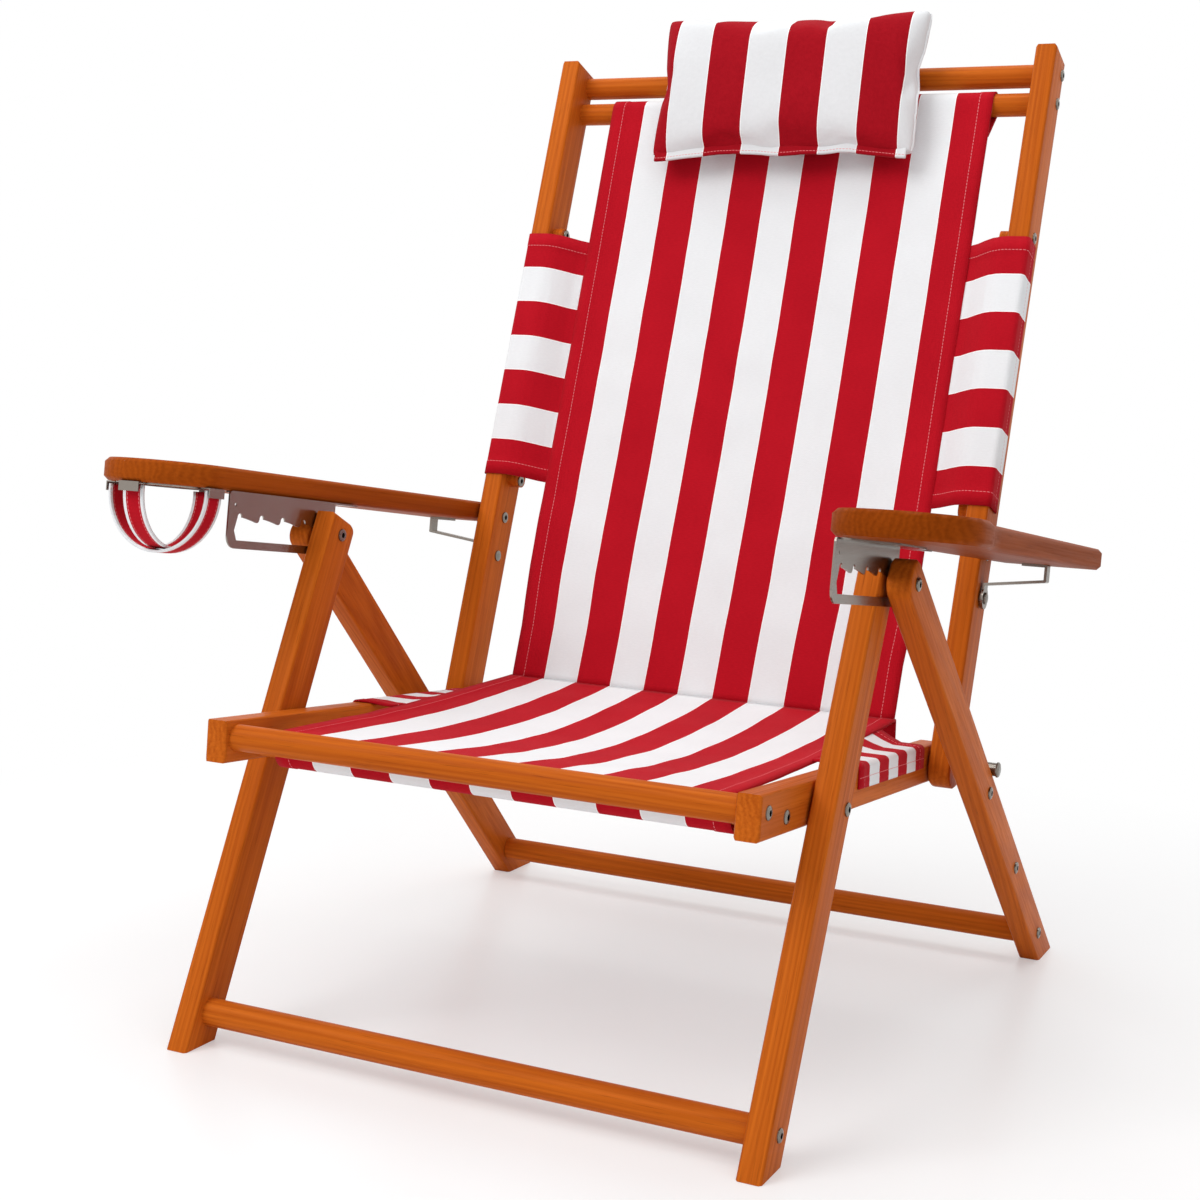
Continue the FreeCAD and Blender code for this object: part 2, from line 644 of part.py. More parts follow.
def arm_board():
    """Armrest board with a round paddle at its front, drawn flat."""
    radius = ARM_PADDLE_WIDTH / 2
    centre_x, centre_y = paddle_centre()
    outer_x = ARM_INNER_X + ARM_WIDTH
    neck_y = centre_y + ARM_NECK_LENGTH
    inner = Part.LineSegment(vec(ARM_INNER_X, ARM_REAR_REACH, 0), vec(ARM_INNER_X, centre_y, 0))
    tip = Part.Arc(
        vec(ARM_INNER_X, centre_y, 0),
        vec(centre_x, centre_y - radius, 0),
        vec(centre_x + radius, centre_y, 0),
    )
    middle = vec((centre_x + radius + outer_x) / 2, (centre_y + neck_y) / 2, 0)
    bow = (centre_x + radius - outer_x) * NECK_BOW
    widening = Part.Arc(
        vec(centre_x + radius, centre_y, 0),
        vec(middle.x + (centre_x + radius - middle.x) / 2 + bow, (centre_y + middle.y) / 2, 0),
        middle,
    )
    narrowing = Part.Arc(
        middle,
        vec((middle.x + outer_x) / 2 - bow, (middle.y + neck_y) / 2, 0),
        vec(outer_x, neck_y, 0),
    )
    outer = Part.LineSegment(vec(outer_x, neck_y, 0), vec(outer_x, ARM_REAR_REACH, 0))
    rear = Part.LineSegment(vec(outer_x, ARM_REAR_REACH, 0), vec(ARM_INNER_X, ARM_REAR_REACH, 0))
    outline = Part.Wire([curve.toShape() for curve in (inner, tip, widening, narrowing, outer, rear)])
    board = Part.Face(outline).extrude(vec(0, 0, ARM_THICKNESS))
    board = fillet(board, ARM_REAR_CORNER_RADIUS, lambda edge: (
        edge.BoundBox.ZLength > ARM_THICKNESS - TINY and edge.BoundBox.YMin > ARM_REAR_REACH - TINY
    ))
    return board.makeChamfer(ARM_EDGE, [edge for edge in board.Edges if edge.BoundBox.ZLength < TINY])


def comb_edge(notches):
    """Wire of the notched window's upper side, from the rear end to the front end."""
    edges = []
    notch_radius = PIVOT_BOLT_RADIUS + NOTCH_CLEARANCE
    centre_z = -NOTCH_PEAK_DEPTH - notch_radius
    tip_z = -TOOTH_TIP_DEPTH
    middle_z = (centre_z + tip_z) / 2
    start = vec(0, notches[0] + WINDOW_BEHIND, tip_z)
    for place in notches:
        entry = vec(0, place + notch_radius, centre_z)
        leave = vec(0, place - notch_radius, centre_z)
        run = start.y - entry.y
        bulge = vec(0, entry.y + run * RAMP_BULGE_SHARE, middle_z + TOOTH_CURVE)
        edges.append(Part.Arc(start, bulge, entry).toShape())
        edges.append(Part.Arc(entry, vec(0, place, -NOTCH_PEAK_DEPTH), leave).toShape())
        tip = vec(0, place - TOOTH_TIP_AHEAD, tip_z)
        hook = vec(0, place - notch_radius - TOOTH_CURVE, middle_z)
        if place is not notches[-1]:
            edges.append(Part.Arc(leave, hook, tip).toShape())
        start = tip
    return edges, leave


def notched_plate():
    """Steel angle under the armrest: a window with hooked notches and a screwed flange, drawn flat."""
    notches = notch_places()
    comb, front_top = comb_edge(notches)
    front_y = notches[-1] - WINDOW_AHEAD
    rear_y = notches[0] + WINDOW_BEHIND
    floor_z = -WINDOW_DEPTH
    lean = WINDOW_AHEAD - PIVOT_BOLT_RADIUS
    corners = [
        front_top,
        vec(0, front_y, floor_z + 2 * WINDOW_CORNER_RADIUS),
        vec(0, front_y + lean, floor_z),
        vec(0, rear_y, floor_z),
        vec(0, rear_y, -TOOTH_TIP_DEPTH),
    ]
    sides = [Part.LineSegment(a, b).toShape() for a, b in zip(corners, corners[1:])]
    window = Part.Face(Part.Wire(Part.__sortEdges__(comb + sides)))
    window = window.extrude(vec(PLATE_THICKNESS, 0, 0))
    plate_front = front_y - PLATE_COLUMN
    plate_rear = rear_y + PLATE_COLUMN
    plate_bottom = -WINDOW_DEPTH - PLATE_BAR_HEIGHT
    outline = [
        (plate_front, plate_bottom),
        (plate_rear, plate_bottom),
        (plate_rear, 0.0),
        (plate_front, 0.0),
    ]
    plate = side_prism(outline, 0.0, PLATE_THICKNESS)
    plate = fillet(plate, PLATE_CORNER_RADIUS, lambda edge: (
        crosswise(edge) and edge.BoundBox.ZMax < plate_bottom + TINY
    ))
    plate = fillet(plate, PLATE_TOP_CORNER_RADIUS, lambda edge: (
        crosswise(edge) and near(edge, (plate_front, 0.0), PLATE_TOP_CORNER_RADIUS)
    ))
    hole_place = (plate_front + PLATE_COLUMN, -PLATE_CORNER_RADIUS)
    small_hole = rod(hole_place, PLATE_HOLE_RADIUS, 0.0, PLATE_THICKNESS)
    plate = plate.cut(window).cut(small_hole)
    flange_front = plate_front + 2 * PLATE_TOP_CORNER_RADIUS
    tongue_y = plate_rear + FLANGE_TONGUE_LENGTH
    broad_y = flange_front + FLANGE_NECK_LENGTH
    flange_outline = [
        (0.0, flange_front),
        (FLANGE_NECK_WIDTH, flange_front),
        (FLANGE_NECK_WIDTH, broad_y),
        (FLANGE_WIDTH, broad_y + FLANGE_WIDTH - FLANGE_NECK_WIDTH),
        (FLANGE_WIDTH, plate_rear - FLANGE_TONGUE_LENGTH),
        (FLANGE_TONGUE_WIDTH, plate_rear),
        (FLANGE_TONGUE_WIDTH, tongue_y),
        (0.0, tongue_y),
    ]
    corners = [vec(x, y, -PLATE_THICKNESS) for x, y in flange_outline]
    flange = flat_face(corners).extrude(vec(0, 0, PLATE_THICKNESS))
    angle = plate.fuse(flange).removeSplitter()
    first_screw, last_screw = broad_y + PLATE_SCREW_X, tongue_y - PLATE_COLUMN
    screw_places = [first_screw, (first_screw + last_screw) / 2, last_screw]
    angle.translate(vec(PLATE_INNER_X, 0, 0))
    screws = []
    for y in screw_places:
        x = PLATE_INNER_X + PLATE_SCREW_X
        if y > plate_rear:
            x = PLATE_INNER_X + FLANGE_TONGUE_WIDTH / 2
        screws.append(flush_screw(x, y, PLATE_THICKNESS))
        angle = angle.cut(facet_post(x, y, PLATE_SCREW_HEAD_RADIUS + FIT, -PLATE_THICKNESS, 0.0))
    return angle, screws


def flush_screw(x, y, sunk):
    """Screw driven up into the armrest, its head level with the metal that it holds."""
    head = facet_post(x, y, PLATE_SCREW_HEAD_RADIUS, -sunk, 0.0)
    return head.fuse(facet_post(x, y, PLATE_SCREW_RADIUS, 0.0, SHORT_SCREW_BITE)).removeSplitter()


def arm_bracket():
    """Bent steel strap from under the armrest to the rivet on the upright, drawn flat."""
    ear_x = ear_inner_x() + BRACKET_THICKNESS / 2
    drop_x = ear_x + BRACKET_REACH
    half = BRACKET_THICKNESS / 2
    line = [
        (drop_x - BRACKET_BASE, -half),
        (drop_x, -half),
        (drop_x, -BRACKET_DROP),
        (ear_x, -BRACKET_SHOULDER),
        (ear_x, -ARM_ABOVE_PIVOT),
    ]
    bracket = None
    for ring in strip(line, BRACKET_THICKNESS):
        corners = [vec(x, -BRACKET_WIDTH / 2, z) for x, z in ring]
        band = flat_face(corners).extrude(vec(0, BRACKET_WIDTH, 0))
        bracket = band if bracket is None else bracket.fuse(band)
    for x, z in line[1:-1]:
        bend = Part.makeCylinder(half, BRACKET_WIDTH, vec(x, -BRACKET_WIDTH / 2, z), vec(0, 1, 0))
        bracket = bracket.fuse(bend)
    ear = rod((0.0, -ARM_ABOVE_PIVOT), BRACKET_EAR_RADIUS, ear_x - half, ear_x + half)
    bracket = bracket.fuse(ear).removeSplitter()
    bracket = bracket.cut(rod((0.0, -ARM_ABOVE_PIVOT), RIVET_RADIUS + FIT, 0.0, FAR))
    screws = []
    for inset in BRACKET_SCREW_INSETS:
        x = drop_x - inset
        screws.append(flush_screw(x, 0.0, BRACKET_THICKNESS))
        bracket = bracket.cut(facet_post(x, 0.0, PLATE_SCREW_HEAD_RADIUS + FIT, -BRACKET_THICKNESS, 0.0))
    return bracket, screws


def ear_inner_x():
    """Inner face of the bracket's ear, outside its washer."""
    return LEG_OUTER_X + BRACKET_WASHER_THICKNESS + 2 * RUNNING_GAP


def cup_sling(centre_x, centre_y):
    """Ring, clips and two crossing web straps that hold a cup under the left paddle, drawn flat."""
    ring_outer = CUP_HOLE_RADIUS + CUP_RING_WIDTH
    ring = Part.makeCylinder(ring_outer, CUP_RING_THICKNESS, vec(centre_x, centre_y, -CUP_RING_THICKNESS))
    ring = ring.cut(Part.makeCylinder(CUP_HOLE_RADIUS, FAR, vec(centre_x, centre_y, -FAR / 2)))
    top_z = -CUP_RING_THICKNESS - CLOTH_GAP
    straps = []
    for step, crosswise_strap in enumerate((True, False)):
        inset = step * CUP_STRAP_NESTING
        span, drop = CUP_STRAP_SPAN - inset, CUP_STRAP_DROP - inset
        bands = []
        for inner in (0.0, CUP_STRAP_THICKNESS):
            ends = [vec(side * (span - inner), 0, top_z) for side in (-1, 1)]
            bands.append(Part.Arc(ends[0], vec(0, 0, top_z - drop + inner), ends[1]).toShape())
        lips = []
        for k in (0, 1):
            lip = Part.LineSegment(bands[0].Vertexes[k].Point, bands[1].Vertexes[k].Point)
            lips.append(lip.toShape())
        face = Part.Face(Part.Wire(Part.__sortEdges__(bands + lips)))
        strap = face.extrude(vec(0, CUP_STRAP_WIDTH, 0))
        strap.translate(vec(0, -CUP_STRAP_WIDTH / 2, 0))
        if not crosswise_strap:
            strap.rotate(vec(0, 0, 0), vec(0, 0, 1), 90)
        strap.translate(vec(centre_x, centre_y - CUP_STRAP_AHEAD * crosswise_strap, 0))
        straps.append(strap)
    clips = []
    for quarter in range(4):
        clip = Part.makeBox(CUP_CLIP_LENGTH, CUP_STRAP_WIDTH, CUP_CLIP_THICKNESS)
        clip.translate(vec(ring_outer + CLOTH_GAP, -CUP_STRAP_WIDTH / 2, -CUP_CLIP_THICKNESS))
        foot = Part.makeBox(CUP_CLIP_THICKNESS, CUP_STRAP_WIDTH, CUP_CLIP_LENGTH)
        foot.translate(vec(ring_outer + CLOTH_GAP + CUP_CLIP_LENGTH, -CUP_STRAP_WIDTH / 2, -CUP_CLIP_LENGTH))
        clip = clip.fuse(foot).removeSplitter()
        clip.rotate(vec(0, 0, 0), vec(0, 0, 1), 90 * quarter)
        sideways = quarter % 2 == 0
        clip.translate(vec(centre_x, centre_y - CUP_STRAP_AHEAD * sideways, 0))
        clips.append(clip)
    return ring, straps, Part.makeCompound(clips)


def build_arms():
    """Armrests with their notched plates, brackets and screws, and the cup sling on the left one."""
    board = arm_board()
    plate, plate_screws = notched_plate()
    bracket, bracket_screws = arm_bracket()
    screws = plate_screws + bracket_screws
    for screw in screws:
        centre = screw.BoundBox.Center
        hole = facet_post(centre.x, centre.y, PLATE_SCREW_RADIUS + FIT, 0.0, SHORT_SCREW_BITE + FIT)
        board = board.cut(hole)
    centre_x, centre_y = paddle_centre()
    ring, straps, clips = cup_sling(centre_x, centre_y)
    hole = Part.makeCylinder(CUP_HOLE_RADIUS, FAR, vec(centre_x, centre_y, -FAR / 2))
    cup_board = board.cut(hole)
    rims = [edge for edge in cup_board.Edges if len(edge.Vertexes) == 1]
    cup_board = cup_board.makeChamfer(ARRIS, [edge for edge in rims if edge.BoundBox.ZMin > TINY])
    parts["arm_board_right"] = lay_arm(board)
    parts["arm_board_left"] = mirrored(lay_arm(cup_board))
    pair("notched_plate", lay_arm(plate))
    pair("arm_bracket", lay_arm(bracket))
    pair("arm_screws", lay_arm(Part.makeCompound(screws)))
    parts["cup_ring"] = mirrored(lay_arm(ring))
    parts["cup_strap_across"] = mirrored(lay_arm(straps[0]))
    parts["cup_strap_along"] = mirrored(lay_arm(straps[1]))
    parts["cup_clips"] = mirrored(lay_arm(clips))
    washer_x = LEG_OUTER_X + RUNNING_GAP
    washer_end = washer_x + BRACKET_WASHER_THICKNESS
    ring = washer(ARM_PIVOT, RIVET_RADIUS, BRACKET_WASHER_RADIUS, washer_x, washer_end)
    group("bracket_washers", [ring])
    head_x = ear_inner_x() + BRACKET_THICKNESS + RUNNING_GAP
    group("arm_rivets", [pivot_bolt(ARM_PIVOT, head_x, LEG_INNER_X, RIVET_RADIUS, RIVET_HEAD_RADIUS)])


def build_canvas(seat_dowel, rear_dowel, hanger):
    """Seat sling, back sling, the bend between them and the flaps that wrap the rails and uprights."""
    ring_middle = DOWEL_RADIUS + CLOTH_GAP + CLOTH_THICKNESS / 2
    half = SEAT_HALF_WIDTH
    front_top = (seat_dowel[0], seat_dowel[1] + ring_middle)
    rear_top = (rear_dowel[0], rear_dowel[1] + ring_middle)
    seat_line = [front_top, CREASE, rear_top]
    seat = cloth_band(seat_line, CLOTH_THICKNESS, -half, half)
    for place in (seat_dowel, rear_dowel):
        seat = seat.fuse(cloth_loop(place, CLOTH_THICKNESS, -half, half))
    parts["seat_sling"] = seat.removeSplitter()
    half = BACK_HALF_WIDTH
    hanger_front = along(hanger, back_front, ring_middle)
    fall = unit(hanger_front, CREASE)
    lower_end = along(CREASE, fall, -BEND_HEIGHT)
    bend_start = along(CREASE, fall, -CLOTH_THICKNESS - CLOTH_GAP)
    back = cloth_band([hanger_front, lower_end], CLOTH_THICKNESS, -half, half)
    parts["back_sling"] = back.fuse(cloth_loop(hanger, CLOTH_THICKNESS, -half, half)).removeSplitter()
    bend_end = along(lower_end, fall, SEAM_GAP)
    parts["sling_bend"] = cloth_band([bend_end, bend_start], CLOTH_THICKNESS, -half, half)


def build_flaps():
    """Canvas flaps: L-shaped sheets round the front and outer side of the uprights and over the rails."""
    front = UPRIGHT_DEPTH / 2 + CLOTH_GAP
    low = BACK_FLAP_ABOVE_ARM_PIVOT
    high = low + BACK_FLAP_LENGTH
    outer_x = LEG_OUTER_X + CLOTH_GAP
    face = [back_point(low, front), back_point(low, front + FLAP_THICKNESS)]
    face += [back_point(high, front + FLAP_THICKNESS), back_point(high, front)]
    sheet = side_prism(face, BACK_HALF_WIDTH + CLOTH_GAP, outer_x + FLAP_THICKNESS)
    wrap = [back_point(low, front), back_point(low, front - BACK_FLAP_WRAP)]
    wrap += [back_point(high, front - BACK_FLAP_WRAP), back_point(high, front)]
    pair("back_flap", sheet.fuse(side_prism(wrap, outer_x, outer_x + FLAP_THICKNESS)).removeSplitter())
    start_y, end_y = SEAT_FLAP_FRONT_Y, SEAT_FLAP_REAR_Y
    gap = CLOTH_GAP + FLAP_THICKNESS
    outer_x = RAIL_OUTER_X + CLOTH_GAP
    tops = [(y, rail_top_at(y)) for y in (start_y, end_y)]
    cover = [(y, z + CLOTH_GAP) for y, z in tops] + [(y, z + gap) for y, z in reversed(tops)]
    sheet = side_prism(cover, SEAT_HALF_WIDTH + CLOTH_GAP, outer_x + FLAP_THICKNESS)
    skirt = [(y, z - SEAT_FLAP_DROP) for y, z in tops] + [(y, z + CLOTH_GAP) for y, z in reversed(tops)]
    pair("seat_flap", sheet.fuse(side_prism(skirt, outer_x, outer_x + FLAP_THICKNESS)).removeSplitter())


def build_pillow(dowels):
    """Head pillow in front of the top dowel and the two straps that hang it there."""
    dowel = dowels["top_dowel"]
    ring_inner = DOWEL_RADIUS + CLOTH_GAP
    top_up = UPRIGHT_ABOVE_ARM_PIVOT - TOP_DOWEL_FROM_END + PILLOW_ABOVE_TOP_DOWEL
    low_up = top_up - PILLOW_HEIGHT
    hanger_front = DOWEL_RADIUS + CLOTH_GAP + CLOTH_THICKNESS - SLING_HANGER_BEHIND
    back_face = max(hanger_front, ring_inner - TOP_DOWEL_BEHIND) + 2 * CLOTH_GAP
    middle = back_face + PILLOW_THICKNESS / 2
    sections = []
    for share, width, thickness in PILLOW_SECTIONS:
        half_width = PILLOW_WIDTH * width / 2
        up = low_up + PILLOW_HEIGHT * share
        rim = []
        for across, ahead in PILLOW_OUTLINE:
            place = back_point(up, middle + ahead * thickness / 2)
            rim.append(vec(across * half_width, *place))
        sections.append(rim)
    faces = [flat_face(sections[0]), flat_face(sections[-1])]
    count = len(PILLOW_OUTLINE)
    for lower, upper in zip(sections, sections[1:]):
        for k in range(count):
            following = (k + 1) % count
            faces.append(flat_face([lower[k], lower[following], upper[following]]))
            faces.append(flat_face([lower[k], upper[following], upper[k]]))
    parts["pillow"] = Part.Solid(Part.makeShell(faces))
    straps = []
    for side in (-1, 1):
        x_from = side * PILLOW_STRAP_X - PILLOW_STRAP_WIDTH / 2
        x_to = x_from + PILLOW_STRAP_WIDTH
        loop = cloth_loop(dowel, FLAP_THICKNESS, x_from, x_to)
        up = UPRIGHT_ABOVE_ARM_PIVOT - TOP_DOWEL_FROM_END + ring_inner
        tab = [back_point(up, -TOP_DOWEL_BEHIND), back_point(up + FLAP_THICKNESS, -TOP_DOWEL_BEHIND)]
        tab += [back_point(up + FLAP_THICKNESS, back_face), back_point(up, back_face)]
        straps.append(loop.fuse(side_prism(tab, x_from, x_to)).removeSplitter())
    parts["pillow_straps"] = Part.makeCompound(straps)


seat_sling_place, rear_dowel_place = build_seat_frame()
build_front_legs()
build_rear_legs()
build_back_pivots()
back_dowels = build_back_frame()
build_arms()
build_canvas(seat_sling_place, rear_dowel_place, back_dowels["back_sling_dowel"])
build_flaps()
build_pillow(back_dowels)

whole = Part.makeCompound(list(parts.values())).BoundBox
origin_shift = -(whole.YMin + whole.YMax) / 2
for name, shape in parts.items():
    shape.translate(vec(0, origin_shift, 0))
    shape.exportStep("parts/" + name + ".step")
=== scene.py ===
"""Dressed model of a folding steamer deck chair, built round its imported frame."""
import logging
from collections.abc import Callable, Iterable, Sequence
from dataclasses import dataclass
from enum import Enum
from math import atan2, ceil, cos, hypot, pi, radians, sin, tanh

import bpy
from mathutils import Matrix, Vector, noise


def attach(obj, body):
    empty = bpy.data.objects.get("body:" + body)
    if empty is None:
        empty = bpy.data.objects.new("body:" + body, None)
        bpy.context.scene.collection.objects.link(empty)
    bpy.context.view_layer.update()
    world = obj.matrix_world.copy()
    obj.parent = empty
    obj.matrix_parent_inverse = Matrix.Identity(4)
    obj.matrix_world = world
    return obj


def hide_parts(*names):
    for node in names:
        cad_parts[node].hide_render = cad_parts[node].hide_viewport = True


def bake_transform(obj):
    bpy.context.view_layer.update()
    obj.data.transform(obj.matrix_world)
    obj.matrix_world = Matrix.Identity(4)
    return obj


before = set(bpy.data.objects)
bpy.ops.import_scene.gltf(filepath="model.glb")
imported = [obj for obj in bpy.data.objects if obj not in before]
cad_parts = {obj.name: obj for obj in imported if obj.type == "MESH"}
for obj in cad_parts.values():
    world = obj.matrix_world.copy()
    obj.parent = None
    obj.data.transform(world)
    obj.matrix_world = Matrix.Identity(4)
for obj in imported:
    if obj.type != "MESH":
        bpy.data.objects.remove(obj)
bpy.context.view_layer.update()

LOG = logging.getLogger("deck_chair")
MM = 0.001
Point = tuple[float, float]
Colour = tuple[float, float, float, float]
Box = tuple[Vector, Vector]
Piece = bpy.types.Object
Socket = bpy.types.NodeSocket
Feed = float | tuple | Socket
Spot = Callable[[float, float], Vector]
WHITE: Colour = (1.0, 1.0, 1.0, 1.0)


def tint(red: int, green: int, blue: int) -> Colour:
    """Linear colour of a paint or cloth sample given in the usual 0 to 255 steps."""
    linear = [((step / 255 + 0.055) / 1.055) ** 2.4 for step in (red, green, blue)]
    return (*linear, 1.0)


def clamp(value: float) -> float:
    """Value kept between 0 and 1."""
    return min(max(value, 0.0), 1.0)


class Side(Enum):
    """Which side of the chair a piece is on, seen from the seat's front."""

    RIGHT = 1
    LEFT = -1


@dataclass(frozen=True)
class Drawing:
    """Side drawing of the chair in millimetres: y runs back from the drawing's datum, z up."""

    shift: float = -187.0751771602842
    arm_pivot: Point = (344.4, 371.0)
    lean_degrees: float = 18.42
    back_lean: float = radians(lean_degrees)
    arm_slope: float = radians(6.565)
    arm_above_pivot: float = 34.7
    crease: Point = (306.0, 256.5)
    seat_dowel: Point = (-87.2, 249.3)
    rear_dowel: Point = (315.0, 222.08)
    upright_end: float = 533.5
    top_dowel: Point = (upright_end - 15.4, -13.9)
    sling_dowel: Point = (upright_end - 45.9, -11.3)
    upright_front: float = 20.8
    rail_front: Point = (-140.2, 257.9)
    rail_slope: float = radians(4.5)
    rail_rise: float = 17.26
    sling_wrap: float = 12.0

    def place(self, x: float, y: float, z: float) -> Vector:
        """Point of the row frame, in metres."""
        return Vector((x, y + self.shift, z)) * MM

    def rail_top(self, y: float) -> float:
        """Height of the seat rails' top edge."""
        fall = (y - self.rail_front[0]) * sin(self.rail_slope) / cos(self.rail_slope)
        return self.rail_front[1] - fall + self.rail_rise

    def sling_top(self, y: float) -> float:
        """Height of the line from the top of the front sling dowel to the crease."""
        front, top = self.seat_dowel[0], self.seat_dowel[1] + self.sling_wrap
        return top - (y - front) * (top - self.crease[1]) / (self.crease[0] - front)

    def on_back(self, up: float, ahead: float) -> Point:
        """Point of the drawing measured up the back and forward from it.

        Args:
            up: distance up the back from the armrest's pivot.
            ahead: distance in front of the uprights' middle plane.

        Returns:
            The point's y and z.
        """
        along, rise = sin(self.back_lean), cos(self.back_lean)
        y = self.arm_pivot[0] + up * along - ahead * rise
        return y, self.arm_pivot[1] + up * rise + ahead * along

    def on_arm(self, x: float, along: float, above: float) -> Vector:
        """Place in the row frame of a point of the armrest drawn flat.

        Args:
            x: distance across the chair from its middle.
            along: distance back from the armrest's pivot.
            above: height over the armrest's underside.

        Returns:
            The place in metres.
        """
        way, rise = cos(self.arm_slope), sin(self.arm_slope)
        height = self.arm_above_pivot + above
        y = self.arm_pivot[0] + along * way + height * rise
        return self.place(x, y, self.arm_pivot[1] - along * rise + height * way)


SIDE = Drawing()


class Shader:
    """Short ways to add and join shader nodes in one node tree."""

    def __init__(self, tree: bpy.types.NodeTree) -> None:
        """Work on one tree."""
        self.tree = tree

    def feed(self, node: bpy.types.Node, feeds: dict) -> None:
        """Join inputs of a node to other sockets, or set their values.

        Args:
            node: the node.
            feeds: values or sockets for its inputs, by name or number.
        """
        for key, value in feeds.items():
            if isinstance(value, Socket):
                self.tree.links.new(value, node.inputs[key])
            else:
                node.inputs[key].default_value = value

    def add(self, kind: str, feeds: dict | None = None, **options: object) -> bpy.types.Node:
        """Add a node.

        Args:
            kind: Blender's name of the node.
            feeds: values or sockets for its inputs, by name or number.
            options: settings of the node itself.

        Returns:
            The node.
        """
        node = self.tree.nodes.new(kind)
        for name, value in options.items():
            setattr(node, name, value)
        self.feed(node, feeds or {})
        return node

    def math(self, operation: str, *values: Feed) -> Socket:
        """Result of a Math node."""
        return self.add("ShaderNodeMath", dict(enumerate(values)), operation=operation).outputs[0]

    def plus(self, first: Feed, second: Feed) -> Socket:
        """Sum of two values."""
        return self.math("ADD", first, second)

    def minus(self, first: Feed, second: Feed) -> Socket:
        """Difference of two values."""
        return self.math("SUBTRACT", first, second)

    def times(self, first: Feed, second: Feed) -> Socket:
        """Product of two values."""
        return self.math("MULTIPLY", first, second)

    def turns(self, run: Feed, length: Feed) -> Socket:
        """How far a run is through its latest whole length, from 0 to 1."""
        return self.math("FRACT", self.math("DIVIDE", run, length))

    def spread(self, value: Feed, low: float, high: float, start: float, end: float) -> Socket:
        """Value mapped from one range to another and kept inside it."""
        feeds = {"Value": value, "From Min": low, "From Max": high, "To Min": start, "To Max": end}
        return self.add("ShaderNodeMapRange", feeds).outputs[0]

    def colours(self, share: Feed, first: Feed, second: Feed) -> Socket:
        """Mix of two colours."""
        feeds = {0: share, 6: first, 7: second}
        return self.add("ShaderNodeMix", feeds, data_type="RGBA").outputs[2]

    def noise(self, vector: Feed, scale: float, detail: float = 2.0) -> Socket:
        """Grey value of a noise texture."""
        feeds = {"Vector": vector, "Scale": scale, "Detail": detail}
        return self.add("ShaderNodeTexNoise", feeds).outputs[0]

    def stretched(self, vector: Feed, scale: tuple[float, float, float]) -> Socket:
        """Coordinates multiplied on each axis."""
        return self.add("ShaderNodeMapping", {"Vector": vector, "Scale": scale}).outputs[0]

    def streaks(self, vector: Feed, scale: tuple[float, float, float], detail: float) -> Socket:
        """Noise drawn out along an axis."""
        return self.noise(self.stretched(vector, scale), 1.0, detail)

    def bump(self, height: Feed, strength: float, distance: float) -> Socket:
        """Normal of a surface with fine relief."""
        feeds = {"Height": height, "Strength": strength, "Distance": distance}
        return self.add("ShaderNodeBump", feeds).outputs[0]

    def coordinates(self, kind: str = "Object") -> Socket:
        """Object or UV coordinates."""
        return self.add("ShaderNodeTexCoord").outputs[kind]


def effect(name: str, inputs: dict[str, object], outputs: Sequence[str]) -> tuple:
    """Start a node group for an effect that several finishes share.

    Args:
        name: the group's name.
        inputs: input names with their default values.
        outputs: output names; one that ends in Colour is a colour.

    Returns:
        The group's Shader, the sockets that its inputs give and its output node.
    """
    group = bpy.data.node_groups.new(name, "ShaderNodeTree")
    for key, value in inputs.items():
        kind = "NodeSocketFloat"
        if isinstance(value, tuple):
            kind = "NodeSocketColor" if len(value) == 4 else "NodeSocketVector"
        socket = group.interface.new_socket(key, in_out="INPUT", socket_type=kind)
        socket.default_value = value
    for key in outputs:
        kind = "NodeSocketColor" if key.endswith("Colour") else "NodeSocketFloat"
        group.interface.new_socket(key, in_out="OUTPUT", socket_type=kind)
    shader = Shader(group)
    return shader, shader.add("NodeGroupInput").outputs, shader.add("NodeGroupOutput")


